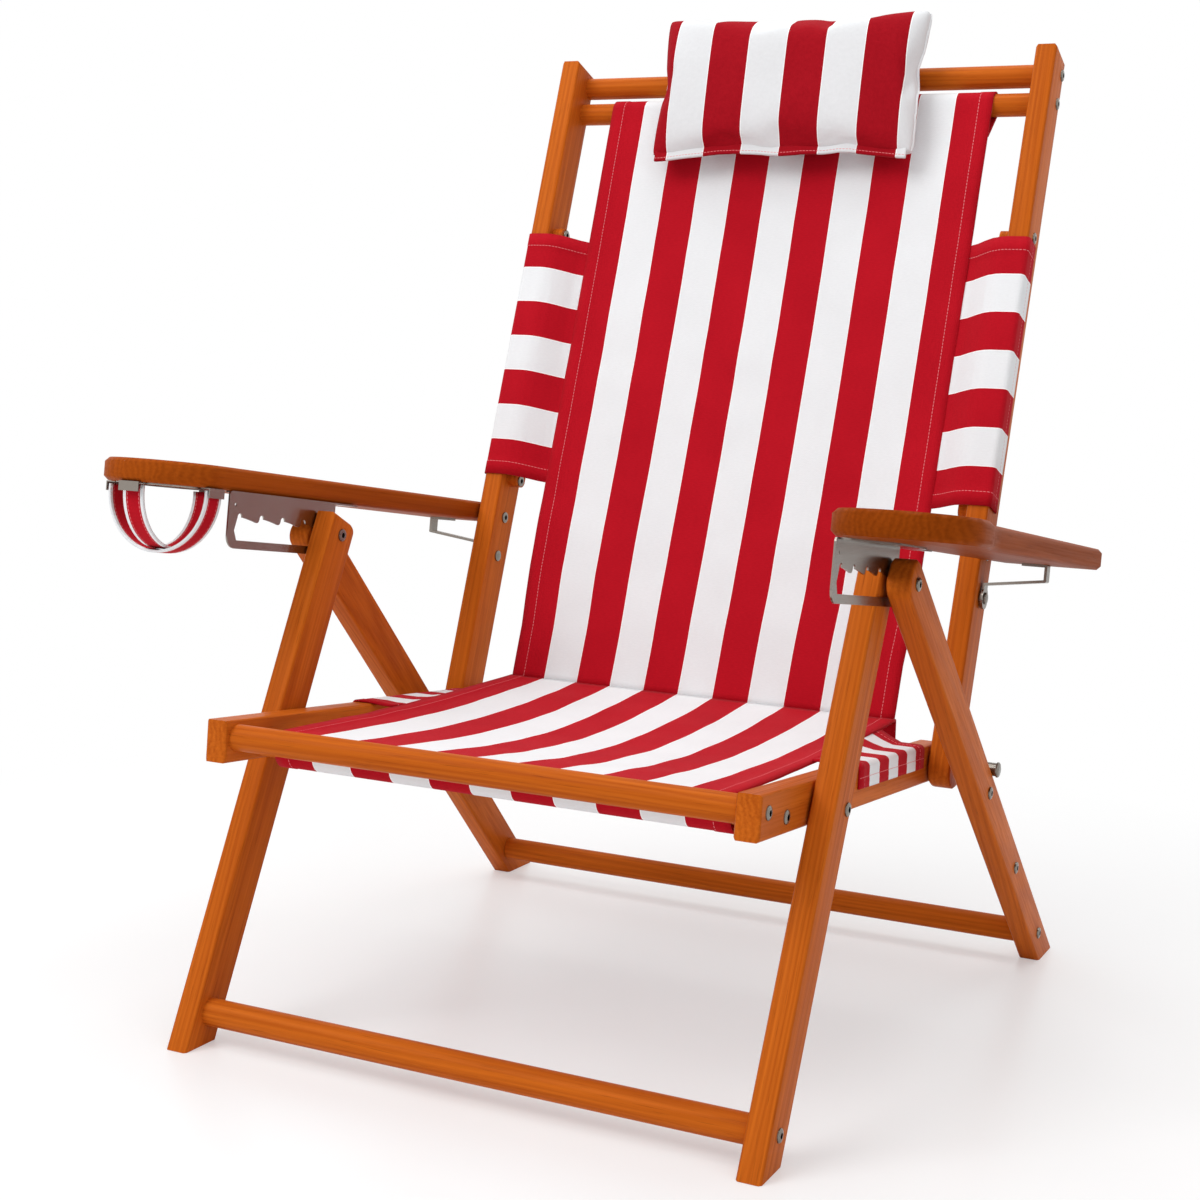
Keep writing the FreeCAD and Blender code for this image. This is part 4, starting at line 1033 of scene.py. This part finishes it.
@dataclass
class Pillow:
    """Head pillow: a filled canvas case with piped sides and a stitched flange along the bottom."""

    width: float = 280.0
    height: float = 150.0
    thickness: float = 46.0
    start_thickness: float = 16.0
    low_up: float = 413.5
    middle_ahead: float = 25.0
    flange: float = 7.0
    voxel: float = 5.0
    cap: float = 20.0
    fuller: Point = (0.055, 0.11)
    stripe_start: float = -0.1597
    stripe_width: float = 0.0404
    # The pillow's red and white are the canvas darkened with painted shade, as the pillow sits in
    # shadow.
    red: Colour = tint(164, 11, 27)
    white: Colour = tint(224, 225, 227)
    cord: float = 1.5
    allowance: float = 3.0
    pressure: float = 4.0
    frames: int = 20
    wedge: float = 0.30
    shear: float = 4.0
    strap_x: float = 80.0
    strap_width: float = 25.0
    strap_radius: float = 11.9
    strap_arc: Point = (-20.0, -320.0)
    strap_start: Point = (16.0, -20.0)
    strap_finish: Point = (-6.0, -21.0)

    def stuffed(self) -> Piece:
        """Filled case drawn flat: x across, y through, z up, in metres.

        Returns:
            The case.
        """
        nothing_selected()
        bpy.ops.mesh.primitive_cube_add(size=1.0, location=(0.0, 0.0, 0.0))
        piece = bpy.context.object
        piece.name = piece.data.name = "Head_pillow"
        bpy.ops.object.mode_set(mode="EDIT")
        size = (self.width * MM, self.start_thickness * MM, self.height * MM)
        bpy.ops.transform.resize(value=size, center_override=(0.0, 0.0, 0.0))
        bpy.ops.mesh.bevel(offset=3 * MM, segments=2)
        bpy.ops.object.mode_set(mode="OBJECT")
        piece.data.remesh_voxel_size = self.voxel * MM
        bpy.ops.object.voxel_remesh()
        self.blow_up(piece)
        return piece

    def blow_up(self, piece: Piece) -> None:
        """Inflate the case as cloth, and keep how far each point may move.

        Args:
            piece: the case.
        """
        before = [vertex.co.copy() for vertex in piece.data.vertices]
        pick(piece)
        modifier = piece.modifiers.new("cloth", "CLOTH")
        modifier.settings.use_pressure = True
        modifier.settings.uniform_pressure_force = self.pressure
        modifier.settings.effector_weights.gravity = 0.0
        modifier.settings.quality = 6
        modifier.point_cache.frame_start = 1
        modifier.point_cache.frame_end = self.frames
        for number in range(1, self.frames + 1):
            bpy.context.scene.frame_set(number)
        bpy.ops.object.modifier_apply(modifier="cloth")
        bpy.context.scene.frame_set(1)
        limit = self.cap * MM
        for vertex, start in zip(piece.data.vertices, before):
            move = vertex.co - start
            if move.length > 1e-7:
                vertex.co = start + move.normalized() * limit * tanh(move.length / limit)

    def fitted(self, piece: Piece) -> None:
        """Scale the filled case to its size and round it by one subdivision.

        Args:
            piece: the case.
        """
        wanted = (self.width, self.thickness, self.height)
        vertices = piece.data.vertices
        for axis in range(3):
            high = max(vertex.co[axis] for vertex in vertices)
            low = min(vertex.co[axis] for vertex in vertices)
            for vertex in vertices:
                off = vertex.co[axis] - (high + low) / 2
                vertex.co[axis] = off * wanted[axis] * MM / (high - low)
        apply_modifier(piece, "SMOOTH", factor=0.5, iterations=3)
        apply_modifier(piece, "SUBSURF", levels=1, render_levels=1)
        half, tall = self.width * MM / 2, self.height * MM / 2
        for vertex in piece.data.vertices:
            across, up = vertex.co.x / half, vertex.co.z / tall
            vertex.co.x *= 1.0 - self.fuller[0] * (up * up - 0.5)
            vertex.co.z *= 1.0 - self.fuller[1] * (across * across - 0.5)
            if vertex.co.y < 0:
                vertex.co.y *= 1.0 + self.wedge * up
            vertex.co.y -= self.shear * MM * up

    def place(self, x: float, through: float, up: float) -> Vector:
        """Point of the row frame for a point of the case drawn flat, in millimetres."""
        middle_up = self.low_up + self.flange + self.height / 2
        return SIDE.place(x, *SIDE.on_back(middle_up + up, self.middle_ahead - through))

    def rim(self, piece: Piece, axis: int, sign: int, steps: int) -> list[Vector]:
        """Outermost points of the case along one of its four sides, drawn flat in metres.

        Args:
            piece: the case.
            axis: 0 for a short side and 2 for a long one.
            sign: which of the two.
            steps: how many points.

        Returns:
            The points.
        """
        other = 2 - axis
        reach = (self.height if axis == 0 else self.width) * MM / 2
        found: dict[int, Vector] = {}
        for vertex in piece.data.vertices:
            share = (vertex.co[other] + reach) / (2 * reach)
            slot = min(max(int(share * steps), 0), steps - 1)
            if slot not in found or vertex.co[axis] * sign > found[slot][axis] * sign:
                found[slot] = vertex.co.copy()
        return [found[slot] for slot in sorted(found)]

    def canvas(self, start: float, **settings: object) -> Canvas:
        """The pillow's striped canvas, with the place where its stripes start."""
        return Canvas(
            red=self.red, white=self.white, stripe_start=start, stripe_width=self.stripe_width,
            **settings)

    def piping(self, name: str, points: list[Vector]) -> None:
        """White piping cord sewn into a side seam.

        Args:
            name: the piece's name.
            points: the seam's line.
        """
        curve = bpy.data.curves.new(name, "CURVE")
        curve.dimensions = "3D"
        curve.bevel_depth = self.cord * MM
        curve.bevel_resolution = 3
        curve.use_fill_caps = True
        spline = curve.splines.new("NURBS")
        spline.points.add(len(points) - 1)
        for target, point in zip(spline.points, points):
            target.co = (*point, 1.0)
        spline.order_u = 3
        spline.use_endpoint_u = True
        pick(linked(name, curve))
        bpy.ops.object.convert(target="MESH")
        cord = bpy.context.object
        cord.name = cord.data.name = name
        cord.data.shade_smooth()
        Canvas(red_half=0.0, from_object=True).dress(cord)
        keep(cord, "back")

    def build(self) -> None:
        """The filled case with its piping, flange and hanging straps."""
        piece = self.stuffed()
        self.fitted(piece)
        sides = {"left": self.rim(piece, 0, -1, 24), "right": self.rim(piece, 0, 1, 24)}
        bottom = self.rim(piece, 2, -1, 36)
        for vertex in piece.data.vertices:
            vertex.co = self.place(*(vertex.co / MM))
        piece.data.shade_smooth()
        self.canvas(self.stripe_start, from_object=True).dress(piece)
        keep(piece, "back", ["pillow"])
        for name, points in sides.items():
            line = [self.place(*(point / MM)) for point in points]
            self.piping(f"Pillow_piping_{name}", line)
        self.build_flange(bottom)
        for number, sign in enumerate((-1, 1)):
            self.build_strap(number, sign)

    def build_flange(self, bottom: list[Vector]) -> None:
        """Flat seam allowance under the filled case, with its stitches.

        Args:
            bottom: the case's lower edge, drawn flat in metres.
        """
        line = Path([(point.x / MM, point.z / MM) for point in bottom])
        depth = self.flange + self.allowance

        def place(u: float, v: float) -> Vector:
            """Point of the row frame for a place on the flange."""
            x, up = line.at(u)
            return self.place(x, 0.6 * sin(u / 9.0), up + self.allowance - v)

        piece = cloth("Pillow_flange", line.steps(6.0), evenly(0.0, depth, 2.0), place, 1.4)
        seam = Seam(1, (depth - self.allowance) * MM)
        canvas = self.canvas(self.stripe_start - bottom[0].x, seams=(seam,))
        hang(piece, canvas, "back")

    def build_strap(self, number: int, sign: int) -> None:
        """Red strap from the case's back round the top dowel.

        Args:
            number: its number.
            sign: which side of the middle it is on.
        """
        up, ahead = SIDE.top_dowel
        begin, end = (180.0 - SIDE.lean_degrees + turn for turn in self.strap_arc)
        loop = arc(SIDE.on_back(up, ahead), self.strap_radius, begin, end, 22)
        start, finish = (
            SIDE.on_back(up + higher, self.middle_ahead + further)
            for higher, further in (self.strap_start, self.strap_finish))
        path = Path([start, *loop, finish])
        left = sign * self.strap_x - self.strap_width / 2
        piece = cloth(
            f"Pillow_strap_{number}", evenly(left, left + self.strap_width, 5.0),
            path.steps(4.0), lambda u, v: SIDE.place(u, *path.at(v)), 1.0)
        hang(piece, Canvas(red_half=1.0), "back", ["pillow_straps"])


@dataclass
class CupSling:
    """Webbing that holds a cup under the left armrest's hole."""

    centre_x: float = -317.5
    centre_along: float = -438.4
    width: float = 20.0
    thickness: float = 1.3
    across_ahead: float = 6.5
    lowered: float = 2.2
    white_edge: float = 2.8
    seam_from_edge: float = 4.2

    def strap(self, name: str, span: float, drop: float, crosswise: bool) -> None:
        """One hanging strap with white edges.

        Args:
            name: the piece's name.
            span: half the distance between its ends.
            drop: how far its middle hangs.
            crosswise: whether it crosses the chair.
        """
        radius = (span ** 2 + drop ** 2) / (2 * drop)
        opening = atan2(span, radius - drop) * 180 / pi
        path = Path(arc((0.0, radius - drop), radius, -90.0 - opening, -90.0 + opening, 32))

        def place(u: float, v: float) -> Vector:
            """Point of the row frame for a place on the strap."""
            run, above = path.at(v)
            x, along = (run, u - self.across_ahead) if crosswise else (u, run)
            return SIDE.on_arm(self.centre_x + x, self.centre_along + along, above - self.lowered)

        half = self.width / 2
        columns = [-half, -half + 0.8, -half + 3.0, -3.0, 3.0, half - 3.0, half - 0.8, half]
        piece = cloth(name, columns, path.steps(5.0), place, self.thickness)
        seam = Seam(0, (half - self.seam_from_edge) * MM, True)
        webbing = Canvas(red_half=(half - self.white_edge) * MM, seams=(seam,))
        hang(piece, webbing, "arm_left", [name.lower()])

    def build(self) -> None:
        """Both straps."""
        self.strap("Cup_strap_across", 49.2, 53.2, True)
        self.strap("Cup_strap_along", 45.8, 49.8, False)


# Corners that are closer than this are one corner of a solid.
WELD_DISTANCE = 0.05 * MM


def solids_of(node: str) -> list[Box]:
    """Boxes of the separate solids in one node of the frame.

    Args:
        node: the node's name.

    Returns:
        Lowest and highest corner of each solid, in a fixed order.
    """
    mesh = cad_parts[node].data
    root: dict[tuple, tuple] = {}

    def find(key: tuple) -> tuple:
        """Corner that stands for a corner's whole solid."""
        while root[key] != key:
            root[key] = root[root[key]]
            key = root[key]
        return key

    keys = [tuple(round(part / WELD_DISTANCE) for part in vertex.co) for vertex in mesh.vertices]
    for key in keys:
        root.setdefault(key, key)
    for face in mesh.polygons:
        corners = [find(keys[k]) for k in face.vertices]
        for corner in corners[1:]:
            root[find(corner)] = find(corners[0])
    groups: dict[tuple, list[Vector]] = {}
    for key, vertex in zip(keys, mesh.vertices):
        groups.setdefault(find(key), []).append(vertex.co)
    boxes = [
        tuple(Vector(pick_one(axis) for axis in zip(*points)) for pick_one in (min, max))
        for points in groups.values()
    ]
    return sorted(boxes, key=lambda box: tuple(round(part, 5) for part in box[0]))


@dataclass(frozen=True)
class Turned:
    """Profile of a bolt that lies across the chair, from its outer end inwards."""

    head_radius: float = 5.6
    head_height: float = 1.8
    shank_radius: float = 2.5
    tail_radius: float = 0.0
    tail_height: float = 1.8
    sleeve_radius: float = 0.0
    sleeve_length: float = 0.0
    socket: bool = True
    step: float = 0.01
    socket_depth: float = 1.2
    socket_share: float = 0.46

    def stages(self, length: float) -> list[Point]:
        """Distances inwards from the head's outer face, each with the radius there.

        Args:
            length: whole length in millimetres.

        Returns:
            The stages, with a crowned head and a tail or a pointed tip.
        """
        head, height, shank = self.head_radius, self.head_height, self.shank_radius
        crown = ((0.0, 0.62), (0.18, 0.86), (0.5, 0.98), (1.0, 1.0))
        found = [(height * deep, head * wide) for deep, wide in crown]
        if self.sleeve_length:
            ends = (self.step, self.sleeve_length)
            found += [(height + end, self.sleeve_radius) for end in ends]
        found.append((found[-1][0] + self.step, shank))
        if self.tail_radius:
            under = length - self.tail_height
            found += [
                (under, shank), (under + self.step, self.tail_radius),
                (length - 0.5, self.tail_radius * 0.97), (length, self.tail_radius * 0.66)]
        else:
            found += [(length - 2.5, shank), (length, shank * 0.3)]
        return found

    def model(self, length: float) -> Piece:
        """Bolt turned from a disc by extruding and resizing, head at the origin and shank along -x.

        Args:
            length: whole length in millimetres.

        Returns:
            The bolt.
        """
        nothing_selected()
        stages = self.stages(length)
        bpy.ops.mesh.primitive_circle_add(
            vertices=28, radius=stages[0][1] * MM, fill_type="NGON", rotation=(0.0, pi / 2, 0.0))
        bolt = bpy.context.object
        bpy.ops.object.transform_apply(location=False, rotation=True, scale=False)
        bpy.ops.object.mode_set(mode="EDIT")
        bpy.ops.mesh.select_all(action="SELECT")
        for (start, radius), (end, following) in zip(stages, stages[1:]):
            bpy.ops.mesh.extrude_region_move(
                TRANSFORM_OT_translate={"value": ((start - end) * MM, 0.0, 0.0)})
            share = following / radius
            bpy.ops.transform.resize(
                value=(1.0, share, share), center_override=(-end * MM, 0.0, 0.0))
        bpy.ops.mesh.select_all(action="SELECT")
        bpy.ops.mesh.normals_make_consistent(inside=False)
        bpy.ops.object.mode_set(mode="OBJECT")
        bolt.data.materials.append(steel("turned_steel", tint(132, 126, 118)))
        bolt.data.materials.append(steel("socket_shadow", tint(38, 34, 30)))
        if self.socket:
            self.cut_socket(bolt, 0.0, self.head_radius)
            if self.tail_radius:
                self.cut_socket(bolt, length, self.tail_radius)
        pick(bolt)
        bpy.ops.object.shade_smooth_by_angle(angle=radians(35.0))
        return bolt

    def cut_socket(self, bolt: Piece, end: float, radius: float) -> None:
        """Hexagon socket sunk into one end of the bolt.

        Args:
            bolt: the bolt.
            end: the end's distance from the head's outer face.
            radius: radius of the head at that end.
        """
        nothing_selected()
        depth = self.socket_depth * MM
        bpy.ops.mesh.primitive_cylinder_add(
            vertices=6, radius=radius * self.socket_share * MM, depth=2 * depth,
            location=(-end * MM, 0.0, 0.0), rotation=(0.0, pi / 2, 0.0))
        cutter = bpy.context.object
        apply_modifier(bolt, "BOOLEAN", operation="DIFFERENCE", object=cutter, solver="EXACT")
        bpy.data.objects.remove(cutter)
        for face in bolt.data.polygons:
            off_axis = hypot(face.center.y, face.center.z)
            inside = abs(face.center.x + end * MM)
            if off_axis < radius * 0.5 * MM and 0.2 * MM < inside < 1.1 * depth:
                face.material_index = 1


@dataclass
class Fasteners:
    """Every bolt, screw, pin and rivet that lies across the chair."""

    screw: Turned = Turned()
    through: Turned = Turned(tail_radius=5.6)
    headless: Turned = Turned(head_radius=2.4, head_height=0.6, socket=False)
    pivot: Turned = Turned(shank_radius=3.0, tail_radius=5.6)
    rivet: Turned = Turned(head_radius=5.5, shank_radius=3.0, tail_radius=5.5, socket=False)
    stop_bolt: Turned = Turned(
        head_radius=7.0, head_height=2.5, shank_radius=4.0, tail_radius=5.6,
        sleeve_radius=6.0, sleeve_length=33.0, socket=False)
    through_lengths: Point = (20.0, 40.0)
    shortest_screw: float = 45.5

    def build(self) -> None:
        """Round bolts in place of the plain ones, one piece for each kind."""
        self.build_kind("rail_screws", "seat_frame", self.screw)
        self.build_kind("leg_pivot_bolts", "seat_frame", self.pivot)
        self.build_kind("front_stretcher_bolts", "front_legs", self.screw)
        self.build_kind("notch_pins", "front_legs", self.pivot)
        self.build_kind("rear_leg_bolts", "rear_legs", self.screw)
        self.build_kind("upright_bolts", "back", self.screw)
        self.build_kind("arm_rivets", "rivets", self.rivet)
        self.build_kind("back_pivot_bolts", "back_pivots", self.stop_bolt)

    def build_kind(self, node: str, body: str, kind: Turned) -> None:
        """All bolts of one node: each length is turned once and copied.

        Args:
            node: the node that they stand for.
            body: the body that they ride on.
            kind: their profile.
        """
        models: dict[tuple, Piece] = {}
        copies = []
        for low, high in solids_of(node):
            side = 1 if low.x + high.x > 0 else -1
            inner, outer = sorted((abs(low.x), abs(high.x)))
            length = round((outer - inner) / MM, 2)
            shape = self.fitting(node, kind, length)
            key = (length, shape)
            if key not in models:
                models[key] = shape.model(length)
            mesh = models[key].data.copy()
            turn = Matrix.Rotation(0.0 if side > 0 else pi, 4, "Z")
            seat = Vector((side * outer, (low.y + high.y) / 2, (low.z + high.z) / 2))
            mesh.transform(Matrix.Translation(seat) @ turn)
            copies.append(linked(node, mesh))
        for model in models.values():
            bpy.data.objects.remove(model)
        keep(joined(copies, node.capitalize()), body, [node])

    def fitting(self, node: str, kind: Turned, length: float) -> Turned:
        """Profile of one bolt, by its length.

        Args:
            node: the node that it stands for.
            kind: the usual profile there.
            length: the bolt's length.

        Returns:
            The usual profile, or another one for the uprights' through bolts and the rear pins.
        """
        shortest, longest = self.through_lengths
        if node == "upright_bolts" and shortest < length < longest:
            return self.through
        if node == "rail_screws" and length < self.shortest_screw:
            return self.headless
        return kind


STEELS: dict[str, bpy.types.Material] = {}


def steel(name: str, colour: Colour = Stainless.colour) -> bpy.types.Material:
    """Steel finish, made once for each name.

    Args:
        name: its name.
        colour: its colour.

    Returns:
        The material.
    """
    if name not in STEELS:
        STEELS[name] = Stainless(colour).material(name)
    return STEELS[name]


def both(*names: str) -> tuple[str, ...]:
    """Right and left node of each name."""
    return tuple(f"{name}_{side.name.lower()}" for name in names for side in Side)


@dataclass
class Woodwork:
    """Planks and dowels of the frame, with their varnish."""

    plain: Varnish = Varnish()
    # The arm boards' colours are darker than the plain varnish with painted shade, deepest on the
    # right arm, which lies in shadow.
    right_arm_shaded: Varnish = Varnish(tint(150, 68, 14), tint(116, 48, 6), 0.0, shine=0.02, relief=0.05)
    left_arm_shaded: Varnish = Varnish(tint(170, 80, 20), tint(132, 57, 11), 0.0, shine=0.02, relief=0.05)
    ways: tuple[tuple[Grain, tuple[str, ...]], ...] = (
        (Grain.FRONT_LEG, both("front_leg")),
        (Grain.REAR_LEG, both("rear_leg")),
        (Grain.RAIL, both("seat_rail")),
        (Grain.BACK, both("back_upright", "side_batten")),
        (Grain.ARM, both("arm_board")),
        (Grain.CROSSWISE, (
            "front_rail_dowel", "seat_sling_dowel", "seat_rear_dowel", "front_stretcher",
            "rear_stretcher", "top_dowel", "back_sling_dowel")),
    )

    def build(self) -> None:
        """Dress every wooden node of the frame."""
        # Arm boards get their varnish darkened with painted shade.
        arms_in_painted_shade = {"arm_board_right": self.right_arm_shaded, "arm_board_left": self.left_arm_shaded}
        planks = [(way, node) for way, nodes in self.ways for node in nodes]
        for number, (way, node) in enumerate(planks, 1):
            dress(node, arms_in_painted_shade.get(node, self.plain).material(node, way, number))


def dress(node: str, material: bpy.types.Material) -> None:
    """Give a node of the frame a finish and smooth shading that keeps its flat faces flat.

    Args:
        node: the node's name.
        material: its finish.
    """
    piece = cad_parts[node]
    piece.data.materials.clear()
    piece.data.materials.append(material)
    piece.data.shade_smooth()
    weld = piece.modifiers.new("weld", "WELD")
    weld.merge_threshold = 0.02 * MM
    split = piece.modifiers.new("hard_edges", "EDGE_SPLIT")
    split.split_angle = radians(50.0)
    split.use_edge_sharp = False
    piece.modifiers.new("normals", "WEIGHTED_NORMAL").keep_sharp = True
    LOG.info("%s dressed", node)


@dataclass
class Steelwork:
    """Plates, brackets, washers and the cup ring, kept as the frame has them."""

    nodes: tuple[str, ...] = (
        *both("notched_plate", "arm_bracket"), "cup_ring", "cup_clips", "pivot_spacers",
        "bracket_washers", *both("arm_screws"))

    def build(self) -> None:
        """Dress every plain steel node."""
        for node in self.nodes:
            dress(node, steel("brushed_steel"))


@dataclass
class Studio:
    """Pale floor, soft lights and the camera at the photograph's angle."""

    focal: float = 57.81
    eye: tuple[float, float, float] = (0.6993, -1.5676, 0.5702)
    azimuth: float = radians(25.557)
    elevation: float = radians(8.272)
    roll: float = radians(2.155)
    shift: Point = (0.0034, 0.0357)

    def build_camera(self) -> None:
        """Camera with the photograph's place, turn and lens."""
        data = bpy.data.cameras.new("camera")
        data.lens = self.focal
        data.sensor_width = 36.0
        data.shift_x, data.shift_y = self.shift
        camera = linked("camera", data)
        flat, steep = cos(self.elevation), sin(self.elevation)
        back = Vector((sin(self.azimuth) * flat, -cos(self.azimuth) * flat, steep))
        level = Vector((cos(self.azimuth), sin(self.azimuth), 0.0))
        upright = back.cross(level)
        right = level * cos(self.roll) + upright * sin(self.roll)
        up = upright * cos(self.roll) - level * sin(self.roll)
        turn = Matrix((right, up, back)).transposed().to_4x4()
        camera.matrix_world = Matrix.Translation(self.eye) @ turn
        bpy.context.scene.camera = camera

    def build_floor(self) -> None:
        """Pale floor that keeps the chair's shadow and fades to white."""
        nothing_selected()
        bpy.ops.mesh.primitive_plane_add(size=40.0, location=(0.0, 0.0, -0.0002))
        floor = bpy.context.object
        floor.name = "Floor"
        material, shader, surface = new_material("pale_floor")
        where = shader.coordinates()
        speck = shader.noise(where, 3.0, 2.0)
        shader.feed(surface, {
            "Base Color": shader.colours(speck, tint(246, 246, 247), tint(250, 250, 250)),
            "Roughness": 0.32,
            "Specular IOR Level": 0.35,
        })
        glow = shader.add("ShaderNodeEmission", {"Color": WHITE, "Strength": 1.0})
        seen = shader.add("ShaderNodeLightPath").outputs["Is Camera Ray"]
        far = shader.add("ShaderNodeVectorMath", {0: where}, operation="LENGTH").outputs["Value"]
        share = shader.times(seen, shader.spread(far, 0.42, 1.15, 0.36, 1.0))
        mixed = shader.add(
            "ShaderNodeMixShader", {0: share, 1: surface.outputs[0], 2: glow.outputs[0]})
        shader.feed(shader.tree.nodes["Material Output"], {"Surface": mixed.outputs[0]})
        floor.data.materials.append(material)

    def build_world(self) -> None:
        """Even sky light, white where the camera or a reflection sees it."""
        world = bpy.data.worlds.new("studio")
        bpy.context.scene.world = world
        world.use_nodes = True
        shader = Shader(world.node_tree)
        world.node_tree.nodes.clear()
        path = shader.add("ShaderNodeLightPath").outputs
        seen = shader.math("MAXIMUM", path["Is Camera Ray"], path["Is Glossy Ray"])
        seen = shader.math("MAXIMUM", seen, path["Is Transmission Ray"])
        lit, white = (
            shader.add("ShaderNodeBackground", {"Color": WHITE, "Strength": strength}).outputs[0]
            for strength in (0.55, 1.0))
        mixed = shader.add("ShaderNodeMixShader", {0: seen, 1: lit, 2: white})
        shader.add("ShaderNodeOutputWorld", {"Surface": mixed.outputs[0]})

    def lamp(self, name: str, place: tuple[float, float, float], size: float, power: float) -> None:
        """Square soft light that looks at the chair's middle.

        Args:
            name: the light's name.
            place: where it hangs.
            size: its width.
            power: its power in watts.
        """
        data = bpy.data.lights.new(name, "AREA")
        data.size = size
        data.energy = power
        light = linked(name, data)
        light.location = place
        aim = Vector((0.0, 0.0, 0.4)) - Vector(place)
        light.rotation_mode = "QUATERNION"
        light.rotation_quaternion = aim.to_track_quat("-Z", "Y")

    def build(self) -> None:
        """Camera, floor, sky and lamps."""
        self.build_camera()
        self.build_floor()
        self.build_world()
        self.lamp("key", (-1.6, -2.2, 2.8), 2.0, 56.0)
        self.lamp("fill", (2.6, -1.6, 1.8), 2.4, 12.0)
        self.lamp("top", (0.0, 0.3, 3.2), 2.6, 42.0)
        bpy.context.scene.view_settings.view_transform = "Standard"


def main() -> None:
    """Build the studio and every sub-assembly in order."""
    logging.basicConfig(level=logging.INFO, format="%(name)s %(message)s")
    Studio().build()
    slings = Slings()
    slings.build_seat()
    slings.build_back()
    flaps = Flaps()
    for side in Side:
        flaps.build_back(side)
        flaps.build_seat(side)
    Pillow().build()
    CupSling().build()
    Woodwork().build()
    Steelwork().build()
    Fasteners().build()


if __name__ == "__main__":
    main()
